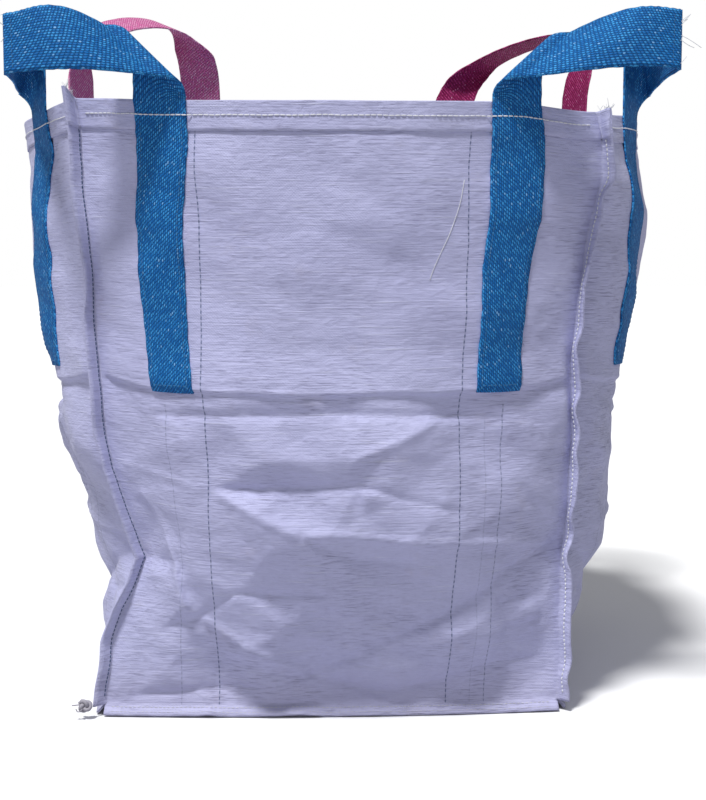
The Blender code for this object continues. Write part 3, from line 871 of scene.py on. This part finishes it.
def web_strap(corner_index, material):
    """One length of webbing: leg, free loop and leg, with its edges and cut ends."""
    corner = CORNERS[corner_index]
    front = corner_index < 2
    near_wall, far_wall = walls_at(corner_index)
    near_hand, far_hand = hand_at(near_wall, corner_index), hand_at(far_wall, corner_index)
    v = np.linspace(0, 1, WEB_COLUMNS)
    zs = leg_rows()
    near_leg = np.array([leg_points(near_wall, near_hand, v, np.full_like(v, z)) for z in zs])
    far_zs = leg_rows(SIDE_LEG_END_Z)
    far_leg = np.array([leg_points(far_wall, far_hand, v, np.full_like(v, z)) for z in far_zs])
    shape = leaning_rows if front else standing_rows
    free = shape(near_wall, near_hand, far_wall, far_hand, corner_index)
    rows = np.concatenate((near_wall.to_bag(near_leg), free, far_wall.to_bag(far_leg)[::-1]))
    steps = np.linalg.norm(np.diff(rows, axis=0), axis=2).mean(axis=1)
    length = np.concatenate(([0.0], np.cumsum(steps)))
    scallop = 0.0005 * np.sin(length * math.tau / 0.0062)[:, None]
    edge = unit(rows[:, -1] - rows[:, 0])
    rows[:, 0] -= edge * scallop
    rows[:, -1] += edge * scallop
    uv = [(x * WEBBING_WIDTH + corner_index * STRAP_UV_STEP, s) for s in length for x in v]
    faces = grid_faces(len(rows), WEB_COLUMNS)
    obj = new_object(f"{corner}_webbing", rows.reshape(-1, 3), faces, material, body=None, uv=uv)
    near = "front" if front else "rear"
    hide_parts(f"{corner}_loop_{near}_leg", f"{corner}_loop_side_leg", f"{corner}_loop")
    thicken(obj, WEBBING)
    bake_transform(obj)
    return obj


# ---- Sewing ----------------------------------------------------------------------------------------


# Along a stitch: how far, how thick and how high, in shares.
STITCH_PROFILE = ((0.0, 0.35, -0.4), (0.16, 0.9, 0.1), (0.5, 1.0, 0.35), (0.84, 0.9, 0.1), (1.0, 0.35, -0.4))


def ring_faces(first, rings, sides):
    """The sides and both ends of a tube of rings of points, the first point being first."""
    faces = []
    for j in range(rings - 1):
        for i in range(sides):
            p, q = first + j * sides + i, first + j * sides + (i + 1) % sides
            faces.append((p, q, q + sides, p + sides))
    faces.append(tuple(first + i for i in reversed(range(sides))))
    faces.append(tuple(first + (rings - 1) * sides + i for i in range(sides)))
    return faces


def stitch_mesh(points, ups, stitch, gap, radius, flatten=0.7):
    """Short rounded stitches laid along a line of points."""
    points = np.asarray(points)
    ups = unit(ups)
    steps = np.linalg.norm(np.diff(points, axis=0), axis=1)
    total = np.concatenate(([0.0], np.cumsum(steps)))
    at = np.arange(gap / 2, total[-1] - stitch, stitch + gap)
    verts, faces = [], []
    ring = [(math.cos(t), math.sin(t)) for t in np.linspace(0, math.tau, 7)[:-1]]

    def along(rows, s):
        return np.array([np.interp(s, total, rows[:, n]) for n in range(3)])

    for s in at:
        start, end = along(points, s), along(points, s + stitch)
        ahead = unit(end - start)
        up = unit(along(ups, s + stitch / 2))
        side = unit(np.cross(ahead, up))
        up = np.cross(side, ahead)
        first = len(verts)
        for share, size, lift in STITCH_PROFILE:
            centre = start + (end - start) * share + up * radius * lift
            for c, d in ring:
                verts.append(centre + side * c * radius * size + up * d * radius * size * flatten)
        faces += ring_faces(first, len(STITCH_PROFILE), len(ring))
    return verts, faces


def add_mesh(parts, verts, faces):
    base = len(parts[0])
    parts[0].extend(verts)
    parts[1].extend(tuple(base + i for i in face) for face in faces)


def outward_of(wall, a, z):
    return wall.to_bag(wall.normal(a, z))


def sewn(name, runs, material, node, body="bag"):
    """A thread piece made of runs of stitches: (points, outward ways, stitch, gap, radius)."""
    parts = ([], [])
    for run in runs:
        add_mesh(parts, *stitch_mesh(*run))
    obj = new_object(name, parts[0], parts[1], material, body=body)
    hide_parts(node)
    return obj


def hem_stitching(wall, material):
    a = np.linspace(-0.965, 0.965, 360)
    z = RIM_Z - HEM_LINE + 0.0006 * line_noise(a, 22, wall.k, 111)
    out = np.full_like(a, HEM_FOLD + FABRIC / 2 + 0.0006)
    for hand in (-1, 1):
        table = leg_table(wall, hand)
        middle, width = along_table(table, z, 1), along_table(table, z, 2)
        on = smooth((width + 0.012 - np.abs(a - middle)) / 0.012)
        out = out + (WEBBING + 0.0014) * on
    run = (wall.to_bag(wall.sample(a, z, out)), outward_of(wall, a, z), 0.0078, 0.0004, 0.00100)
    side = wall.side
    return sewn(f"{side}_hem_thread", [run], material, f"{side}_hem_stitching")


def leg_stitching(corner_index, which, material):
    """Stitching up both edges of a sewn leg and across its end."""
    corner = CORNERS[corner_index]
    wall = walls_at(corner_index)[which == "side"]
    hand = hand_at(wall, corner_index)
    end = SIDE_LEG_END_Z if which == "side" else LEG_END_Z
    up = np.linspace(end + 0.008, RIM_Z - 0.024, 120)
    over = np.linspace(0.10, 0.90, 24)
    edges = ((np.full_like(up, 0.10), up), (np.full_like(up, 0.90), up))
    runs = []
    for v, z in (*edges, (over, np.full_like(over, end + 0.008))):
        a = leg_share(wall, hand, v, z)
        ups = outward_of(wall, a, z)
        points = wall.to_bag(leg_points(wall, hand, v, z)) + ups * (WEBBING / 2 + 0.0002)
        runs.append((points, ups, 0.0055, 0.0022, 0.00055))
    node = f"{corner}_loop_{which}_leg_stitching"
    return sewn(f"{corner}_{which}_leg_thread", runs, material, node)


def seam_stitching(corner_index, material, pale):
    """The chain stitch of a corner seam, on both outer plies."""
    corner = CORNERS[corner_index]
    white = corner == "front_right"
    runs = []
    for wall, side in ((WALLS[corner_index], -1), (WALLS[corner_index - 1], 1)):
        z = np.linspace(0.012, 0.872, 300)
        reaches = (SEAM_LINE_WHITE if white else SEAM_LINE) + 0.0006 * line_noise(z, 60, 3.6, 121)
        line = wall.to_bag(flap_point(wall, side, z, reaches, np.full_like(z, FABRIC / 2 + 0.0003)))
        ups = wall.to_bag(flap_ways(wall, side, z)[1])
        runs.append((line, ups, 0.0052, 0.0014, 0.00125 if white else 0.00090))
    thread, slot = (pale, "white_thread") if white else (material, "blue_thread")
    return sewn(f"{corner}_seam_thread", runs, thread, f"{corner}_seam_stitching")


def base_stitching(wall, material):
    a = np.linspace(-0.97, 0.97, 280)
    normal = bowed_normal(2 * BASE_BULGE * a / BASE_HALF)
    ups = wall.to_bag(normal * math.sin(BASE_FLAP_SLOPE) + UP * math.cos(BASE_FLAP_SLOPE))
    runs = []
    for reach, radius in ((0.0050, 0.00075), (0.0125, 0.0005)):
        line = wall.to_bag(foot_point(wall, a, reach, 1, FABRIC / 2 + 0.0003))
        runs.append((line, ups, 0.0050, 0.0014, radius))
    side = wall.side
    return sewn(f"{side}_base_thread", runs, material, f"{side}_base_stitching")


def tube(points, radius, sides=6):
    """A thin round thread along the points."""
    points = np.asarray(points, float)
    ahead = unit(np.gradient(points, axis=0))
    guess = np.array((0.3, 0.2, 1.0))
    verts = []
    for p, d in zip(points, ahead):
        side = unit(np.cross(d, guess))
        up = np.cross(side, d)
        for t in np.linspace(0, math.tau, sides + 1)[:-1]:
            verts.append(p + side * math.cos(t) * radius + up * math.sin(t) * radius)
    return verts, ring_faces(0, len(points), sides)


def knot_and_tail(material):
    """The knotted end of the seam thread at the foot of the front left corner."""
    wall = WALLS[0]
    centre = flap_point(wall, -1, np.array([0.0]), np.array([SEAM_FLAP]))[0] + np.array(KNOT_OFFSET)
    parts = ([], [])
    t = np.linspace(0, math.tau, 110)
    ring = 2 + np.cos(3 * t)
    loop = np.stack((ring * np.cos(2 * t), 1.4 * np.sin(3 * t), ring * np.sin(2 * t)), axis=-1)
    add_mesh(parts, *tube(centre + loop * KNOT_SIZE, KNOT_THREAD))
    for seed in range(4):
        rng = np.random.default_rng(130 + seed)
        t = np.linspace(0, 1, 22)
        bend = rng.uniform(-1, 1, 3) * 0.010
        reach = np.array((-0.012, -0.004, -0.004)) + rng.uniform(-1, 1, 3) * 0.008
        line = centre + reach * t[:, None] + bend * np.sin(t * math.pi)[:, None]
        line[:, 2] = np.maximum(line[:, 2], 0.0012)
        add_mesh(parts, *tube(line, 0.0009))
    hook = centre + np.array((0.010, 0.004, 0.002))
    add_mesh(parts, *tube(np.linspace(centre, hook, 8), 0.0009))
    obj = new_object("seam_knot", parts[0], parts[1], material)
    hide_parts("seam_thread_knot")
    return obj


def frays(name, roots, ways, lengths, radius, material, body="bag", seed=1):
    """Loose thread ends, each a thin bent tube."""
    parts = ([], [])
    rng = np.random.default_rng(seed)
    for root, way, length in zip(roots, ways, lengths):
        t = np.linspace(0, 1, 9)[:, None]
        side = rng.uniform(-1, 1, 3) * 0.35
        line = root + (unit(way) * t + side * t * t) * length
        add_mesh(parts, *tube(line, radius, 5))
    return new_object(name, parts[0], parts[1], material, body=body)


def corner_frays(material):
    """Frayed tape ends at the puckered tops of the corner flaps."""
    for index, count in ((0, 16), (1, 18), (2, 8), (3, 8)):
        wall, side = WALLS[index], -1
        rng = np.random.default_rng(150 + index)
        reach = rng.uniform(0.004, SEAM_FLAP, count)
        z = np.full(count, RIM_Z)
        root = flap_point(wall, side, z, reach, np.full(count, HEM_FOLD / 2))
        root = root + np.array([corner_lift(wall, side, RIM_Z, r) for r in reach])
        spans = ((-0.6, 0.6), (-0.8, 0.4), (0.2, 1.0))
        ways = np.stack([rng.uniform(low, high, count) for low, high in spans], axis=-1)
        obj = frays(
            f"{CORNERS[index]}_flap_frays",
            wall.to_bag(root),
            wall.to_bag(ways),
            rng.uniform(0.004, 0.014, count),
            0.00035,
            material,
            seed=160 + index,
        )


def apex_frays(strap, corner_index, material):
    """Loose ends where a front loop folds."""
    sx, _ = CORNER_WAY[corner_index]
    rng = np.random.default_rng(170 + corner_index)
    count = 7 if sx > 0 else 4
    rows = strap_rows(strap)
    root = rows[len(rows) // 2, rng.integers(0, WEB_COLUMNS, count)]
    outward = sx * rng.uniform(0.2, 1, count)
    ways = np.stack((outward, rng.uniform(-0.4, 0.2, count), rng.uniform(-1, 1, count)), axis=-1)
    obj = frays(
        f"{CORNERS[corner_index]}_loop_frays",
        root,
        ways,
        rng.uniform(0.010, 0.030 if sx > 0 else 0.016, count),
        0.00045,
        material,
        body=f"{CORNERS[corner_index]}_loop_body",
        seed=180 + corner_index,
    )
    return obj


def strap_rows(strap):
    """The strap's points, row by row from the end of one leg to the end of the other."""
    return np.array([tuple(p.co) for p in strap.data.vertices]).reshape(-1, WEB_COLUMNS, 3)


def loop_stitching(corner_index, strap, material):
    """Two rows of stitches across the middle of a free loop, on its outer face."""
    corner = CORNERS[corner_index]
    sx, sy = CORNER_WAY[corner_index]
    front = corner_index < 2
    away = np.array((sx, sy, 0.0)) if front else UP
    rows = strap_rows(strap)
    middle = len(rows) // 2
    runs = []
    for row in (middle - 5, middle + 5) if front else (middle - 2, middle + 2):
        line = rows[row, 1:-1]
        across = unit(np.gradient(line, axis=0))
        ahead = unit(rows[row + 1, 1:-1] - rows[row - 1, 1:-1])
        ups = unit(np.cross(across, ahead))
        ups = ups * np.sign((ups * away).sum(axis=1, keepdims=True))
        runs.append((line + ups * (WEBBING / 2 + 0.0001), ups, 0.0050, 0.0016, 0.0005))
    body = f"{corner}_loop_body"
    return sewn(f"{corner}_loop_thread", runs, material, f"{corner}_loop_stitching", body)


def loose_thread(material):
    """A stray thread that lies on the front wall."""
    wall = WALLS[0]
    t = np.linspace(0, 1, 26)
    a = (0.170 + (0.130 - 0.170) * t) / 0.366 + 0.010 * np.sin(t * 5)
    z = 0.792 + (0.652 - 0.792) * t
    line = wall.to_bag(wall.sample(a, z, FABRIC / 2 + 0.0004))
    verts, faces = tube(line, 0.0005)
    obj = new_object("stray_thread", verts, faces, material)
    return obj


# ---- Materials -------------------------------------------------------------------------------------


class Nodes:
    """A short hand for building a shader."""

    def __init__(self, name):
        self.material = bpy.data.materials.new(name)
        self.material.use_nodes = True
        self.tree = self.material.node_tree
        self.shader = self.tree.nodes["Principled BSDF"]

    def add(self, kind, inputs=(), **settings):
        node = self.tree.nodes.new(kind)
        for key, value in settings.items():
            setattr(node, key, value)
        self.put(node, inputs)
        return node

    def put(self, node, inputs):
        """Links or sets each input that has a value."""
        for key, value in dict(inputs).items():
            if isinstance(value, bpy.types.NodeSocket):
                self.tree.links.new(value, node.inputs[key])
            elif value is not None:
                node.inputs[key].default_value = value

    def math(self, operation, a, b=0.0, c=0.0):
        return self.add("ShaderNodeMath", {0: a, 1: b, 2: c}, operation=operation).outputs[0]

    def times(self, a, b):
        return self.math("MULTIPLY", a, b)

    def plus(self, a, b):
        return self.math("ADD", a, b)

    def minus(self, a, b):
        return self.math("SUBTRACT", a, b)

    def over(self, a, b):
        return self.math("DIVIDE", a, b)

    def vector(self, operation, a, b):
        return self.add("ShaderNodeVectorMath", {0: a, 1: b}, operation=operation).outputs[0]

    def uv(self):
        return self.add("ShaderNodeUVMap", uv_map="metres").outputs[0]

    def scaled(self, vector, x, y, z=1.0):
        return self.add("ShaderNodeMapping", {"Vector": vector, "Scale": (x, y, z)}).outputs[0]

    def noise(self, vector, scale=1.0, detail=2.0, rough=0.5):
        inputs = {"Vector": vector, "Scale": scale, "Detail": detail, "Roughness": rough}
        return self.add("ShaderNodeTexNoise", inputs).outputs["Fac"]

    def grain(self, vector, x, y, detail, rough=0.5):
        """Noise stretched along x and y."""
        return self.noise(self.scaled(vector, x, y), 1.0, detail, rough)

    def ramp(self, value, low, high):
        """0 below low, 1 above high."""
        inputs = {"Value": value, "From Min": low, "From Max": high}
        return self.add("ShaderNodeMapRange", inputs, interpolation_type="SMOOTHSTEP").outputs[0]

    def mix(self, factor, a, b):
        return self.add("ShaderNodeMix", {0: factor, 6: a, 7: b}, data_type="RGBA").outputs[2]

    def paint(self, under, mask, strength, colour):
        """A colour laid over another where the mask is."""
        return self.mix(self.times(mask, strength), under, colour)

    def split(self, vector):
        node = self.add("ShaderNodeSeparateXYZ", {0: vector})
        return node.outputs[0], node.outputs[1]

    def bump(self, height, distance, strength=1.0, normal=None):
        inputs = {"Height": height, "Distance": distance, "Strength": strength, "Normal": normal}
        return self.add("ShaderNodeBump", inputs).outputs[0]

    def finish(self, colour, roughness, normal=None, sheen=0.0, specular=0.5):
        inputs = {"Base Color": colour, "Roughness": roughness, "Normal": normal}
        self.put(self.shader, inputs | {"Sheen Weight": sheen, "Specular IOR Level": specular})
        return self.material


TAPE = 0.0021
# Warp lines of coloured tape: place across the wall in metres, strength, lowest and highest z.
WARP_LINES = (
    (-0.212, 0.85, 0.0, 0.86),
    (0.193, 0.85, 0.0, 0.86),
    (-0.276, 0.35, 0.0, 0.47),
    (0.262, 0.55, 0.0, 0.47),
    (0.236, 0.22, 0.0, 0.45),
    (-0.243, 0.12, 0.5, 0.86),
)


def woven_fabric():
    """White tape cloth: a plain weave, stray weft streaks, dotted warp lines and handling marks."""
    n = Nodes("woven_tape_cloth")
    uv = n.uv()
    across, up = n.split(uv)
    wall_start = n.times(n.math("ROUND", n.over(across, WALL_UV_STEP)), WALL_UV_STEP)
    local = n.minus(across, wall_start)
    warp = n.math("SINE", n.times(across, math.tau / TAPE / 2))
    weft = n.math("SINE", n.times(up, math.tau / TAPE / 2))
    weave = n.times(warp, weft)
    ribs = n.math("ABSOLUTE", weft)
    fine = n.grain(uv, 30, 620, 3.0, 0.62)
    long = n.grain(uv, 9, 330, 3.0, 0.6)
    region = n.grain(uv, 5.5, 7.5, 2.0, 0.5)
    streak = n.times(n.ramp(fine, 0.52, 0.70), n.ramp(region, 0.30, 0.62))
    pale_streak = n.ramp(long, 0.60, 0.74)
    crumple = n.grain(uv, 60, 95, 4.0, 0.6)
    cloud = n.grain(uv, 2.4, 3.1, 3.0, 0.55)
    hair = n.grain(uv, 75, 1500, 2.0, 0.6)
    colour = n.mix(cloud, (0.440, 0.445, 0.690, 1), (0.545, 0.555, 0.785, 1))
    colour = n.paint(colour, n.ramp(hair, 0.42, 0.72), 0.30, (0.300, 0.285, 0.500, 1))
    colour = n.paint(colour, streak, 0.50, (0.230, 0.215, 0.420, 1))
    colour = n.paint(colour, pale_streak, 0.45, (0.74, 0.76, 0.92, 1))
    soil = n.grain(uv, 11, 14, 5.0, 0.65)
    colour = n.paint(colour, n.ramp(soil, 0.56, 0.80), 0.30, (0.430, 0.385, 0.470, 1))
    colour = n.paint(colour, n.ramp(up, 0.09, 0.0), 0.16, (0.42, 0.37, 0.43, 1))
    dash = n.ramp(n.math("SINE", n.times(up, math.tau / 0.0085)), -0.35, 0.25)
    drift = n.times(n.minus(n.grain(uv, 0, 6, 1.0), 0.5), 0.006)
    for place, strength, low_z, high_z in WARP_LINES:
        off = n.math("ABSOLUTE", n.minus(n.plus(local, drift), place))
        broken = n.plus(0.35, n.times(dash, 0.65))
        line = n.times(n.ramp(off, 0.0014, 0.0007), broken)
        begins = n.ramp(up, low_z - 0.002, low_z + 0.002)
        span = n.times(begins, n.ramp(up, high_z + 0.002, high_z - 0.002))
        colour = n.paint(colour, n.times(line, span), strength, (0.085, 0.115, 0.235, 1))
    height = n.plus(n.times(weave, 0.16), n.times(ribs, 0.12))
    height = n.minus(height, n.times(streak, 0.75))
    height = n.plus(height, n.times(pale_streak, 0.40))
    height = n.plus(height, n.times(long, 1.4))
    fine_bump = n.bump(height, 0.0009, 0.85)
    normal = n.bump(crumple, 0.0040, 0.60, fine_bump)
    rough = n.plus(0.50, n.times(cloud, 0.16))
    return n.finish(colour, rough, normal, sheen=0.12, specular=0.35)


def webbing(name, dark, mid, light):
    """Heavy woven webbing: slanted rows of yarn ends with painted highlights on their tops and painted shade
    between them, a few paler yarns and rubbed edges.
    """
    n = Nodes(name)
    plain = n.uv()
    drift = n.add("ShaderNodeTexNoise", {"Vector": plain, "Scale": 160.0, "Detail": 2.0}).outputs["Color"]
    drift = n.vector("SUBTRACT", drift, (0.5, 0.5, 0.5))
    uv = n.vector("ADD", plain, n.vector("MULTIPLY", drift, (0.0016, 0.0034, 0.0)))
    across, along = n.split(uv)
    strap_start = n.math("FLOOR", n.over(across, STRAP_UV_STEP))
    inside = n.minus(across, n.times(strap_start, STRAP_UV_STEP))
    pitch, end = 0.0031, 0.0054
    column = n.math("FLOOR", n.over(inside, pitch))
    place = n.minus(n.over(inside, pitch), n.plus(column, 0.5))
    parity = n.times(n.math("MODULO", column, 2.0), 0.5)
    lean = n.times(place, 0.42)
    row = n.plus(n.plus(n.over(along, end), parity), lean)
    cell = n.math("FLOOR", row)
    within = n.minus(row, n.plus(cell, 0.5))
    round_x = n.times(place, place)
    round_y = n.times(within, within)
    dome = n.ramp(n.plus(round_x, round_y), 0.30, 0.01)
    seed = n.add("ShaderNodeCombineXYZ", {0: column, 1: cell}).outputs[0]
    chance = n.add("ShaderNodeTexWhiteNoise", {"Vector": seed}, noise_dimensions="3D").outputs["Value"]
    fibre = n.grain(uv, 2600, 320, 2.0, 0.6)
    base = n.mix(n.grain(uv, 14, 30, 4.0, 0.6), dark, mid)
    # Painted shade: the gaps between the yarn domes are painted darker.
    between = tuple(c * 0.30 for c in dark[:3]) + (1,)
    base = n.paint(base, n.minus(1.0, dome), 0.62, between)
    # Painted highlight: the tops of the yarn domes are painted lighter where they would catch the light.
    painted_glint = n.times(n.ramp(dome, 0.45, 0.95), n.ramp(chance, 0.15, 0.95))
    colour = n.paint(base, painted_glint, 0.70, light)
    pale = n.times(n.ramp(chance, 0.93, 0.99), n.ramp(dome, 0.75, 0.99))
    palest = (0.55, 0.70, 0.88, 1) if light[2] > light[0] else (0.9, 0.7, 0.82, 1)
    colour = n.paint(colour, pale, 0.40, palest)
    colour = n.paint(colour, n.ramp(fibre, 0.55, 0.75), 0.22, light)
    side = n.math("MINIMUM", inside, n.minus(WEBBING_WIDTH, inside))
    edge = n.times(n.ramp(side, 0.0022, 0.0004), n.ramp(chance, 0.25, 0.8))
    colour = n.paint(colour, edge, 0.55, light)
    height = n.plus(dome, n.times(fibre, 0.35))
    normal = n.bump(height, 0.0012, 0.9)
    return n.finish(colour, n.plus(0.50, n.times(fibre, 0.25)), normal, specular=0.22)


def thread_material(name, colour):
    """Twisted sewing thread with uneven colour."""
    n = Nodes(name)
    place = n.add("ShaderNodeTexCoord").outputs["Object"]
    twist = n.noise(place, 900.0, 3.0, 0.6)
    slow = n.noise(place, 60.0, 2.0, 0.5)
    darker = tuple(c * 0.62 for c in colour[:3]) + (1,)
    shade = n.paint(darker, n.plus(twist, slow), 0.5, colour)
    return n.finish(shade, 0.66, n.bump(twist, 0.0004, 0.6), sheen=0.2)


def floor_material():
    n = Nodes("pale_floor")
    place = n.add("ShaderNodeTexCoord").outputs["Object"]
    tone = n.noise(place, 1.6, 3.0, 0.5)
    seen = n.mix(tone, (0.93, 0.93, 0.93, 1), (0.95, 0.95, 0.95, 1))
    direct = n.add("ShaderNodeLightPath").outputs["Is Camera Ray"]
    return n.finish(n.mix(direct, (0.52, 0.52, 0.55, 1), seen), 0.85, specular=0.0)


# ---- The room and the camera -----------------------------------------------------------------------


SUN_WAY = (0.30, 0.50, -1.22)
SUN_POWER = 3.2
SUN_WIDTH = math.radians(9)
FILL_PLACE = (-1.2, -3.2, 1.4)
FILL_AIM = (0.0, -0.2, 0.50)
FILL_SIZE = 2.4
FILL_POWER = 6
SKY_POWER = 0.30
CAMERA_PLACE = (-0.0596, -2.5345, 0.6841)
CAMERA_DOWN = math.radians(5.50)
CAMERA_RIGHT = math.radians(2.15)
CAMERA_LENS = 67.5


def make_stage():
    bpy.ops.mesh.primitive_plane_add(size=60, location=(0, 0, 0))
    floor = bpy.context.object
    floor.name = "floor"
    floor.data.materials.append(floor_material())
    world = bpy.data.worlds.new("studio")
    bpy.context.scene.world = world
    world.use_nodes = True
    tree = world.node_tree
    back = tree.nodes["Background"]
    back.inputs["Color"].default_value = (0.95, 0.97, 1.0, 1)
    back.inputs["Strength"].default_value = SKY_POWER
    seen = tree.nodes.new("ShaderNodeBackground")
    seen.inputs["Color"].default_value = (1, 1, 1, 1)
    seen.inputs["Strength"].default_value = 1.0
    path = tree.nodes.new("ShaderNodeLightPath")
    pick = tree.nodes.new("ShaderNodeMixShader")
    tree.links.new(path.outputs["Is Camera Ray"], pick.inputs[0])
    tree.links.new(back.outputs[0], pick.inputs[1])
    tree.links.new(seen.outputs[0], pick.inputs[2])
    tree.links.new(pick.outputs[0], tree.nodes["World Output"].inputs[0])
    key = bpy.data.lights.new("key", "SUN")
    key.energy = SUN_POWER
    key.angle = SUN_WIDTH
    aimed("key", key, (0, 0, 0), SUN_WAY)
    fill = bpy.data.lights.new("fill", "AREA")
    fill.size = FILL_SIZE
    fill.energy = FILL_POWER
    aimed("fill", fill, FILL_PLACE, Vector(FILL_AIM) - Vector(FILL_PLACE))


def aimed(name, data, place, way):
    """A light or a camera that looks this way."""
    obj = add_object(name, data)
    obj.location = place
    obj.rotation_euler = Vector(way).to_track_quat("-Z", "Y").to_euler()
    return obj


def make_camera():
    data = bpy.data.cameras.new("camera")
    data.lens = CAMERA_LENS
    data.sensor_width = 36
    pitch, yaw = CAMERA_DOWN, CAMERA_RIGHT
    way = (math.sin(yaw) * math.cos(pitch), math.cos(yaw) * math.cos(pitch), -math.sin(pitch))
    bpy.context.scene.camera = aimed("camera", data, CAMERA_PLACE, way)
    bpy.context.scene.view_settings.view_transform = "Standard"


# ---- Putting it together ---------------------------------------------------------------------------


def note_size():
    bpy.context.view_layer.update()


note_size()
WALLS = [Wall(side) for side in SIDES]


def main():
    cloth = woven_fabric()
    blue = webbing("blue_web", (0.004, 0.115, 0.400, 1), (0.005, 0.190, 0.580, 1), (0.070, 0.440, 0.900, 1))
    pink = webbing("pink_web", (0.78, 0.15, 0.42, 1), (0.92, 0.26, 0.58, 1), (0.97, 0.62, 0.82, 1))
    # Painted shade: the rear right loop is the pink webbing again, painted darker as if in shadow.
    pink_painted_shade = webbing("magenta_web", (0.28, 0.008, 0.085, 1), (0.42, 0.012, 0.140, 1), (0.70, 0.09, 0.32, 1))
    blue_thread = thread_material("blue_seam_thread", (0.040, 0.085, 0.210, 1))
    web_thread = thread_material("blue_web_thread", (0.030, 0.190, 0.420, 1))
    pink_thread = thread_material("pink_web_thread", (0.60, 0.18, 0.38, 1))
    white_thread = thread_material("white_sewing_thread", (0.86, 0.87, 0.92, 1))
    pale_thread = thread_material("pale_seam_thread", (0.66, 0.66, 0.76, 1))
    for wall in WALLS:
        sheet = make_wall(wall, cloth)
        threads = [hem_stitching(wall, white_thread), base_stitching(wall, pale_thread)]
    base = make_base(WALLS, cloth)
    for index in range(4):
        material = (blue, blue, pink_painted_shade, pink)[index]
        strap = web_strap(index, material)
        near = "front" if index < 2 else "rear"
        thread = web_thread if index < 2 else pink_thread
        threads = [leg_stitching(index, near, thread), leg_stitching(index, "side", thread)]
        threads.append(loop_stitching(index, strap, thread))
        if index < 2:
            threads.append(apex_frays(strap, index, white_thread))
        seam_stitching(index, blue_thread, white_thread)
    corner_frays(white_thread)
    knot_and_tail(thread_material("knotted_thread", (0.42, 0.40, 0.46, 1)))
    loose_thread(white_thread)
    make_stage()
    make_camera()


main()
note_size()
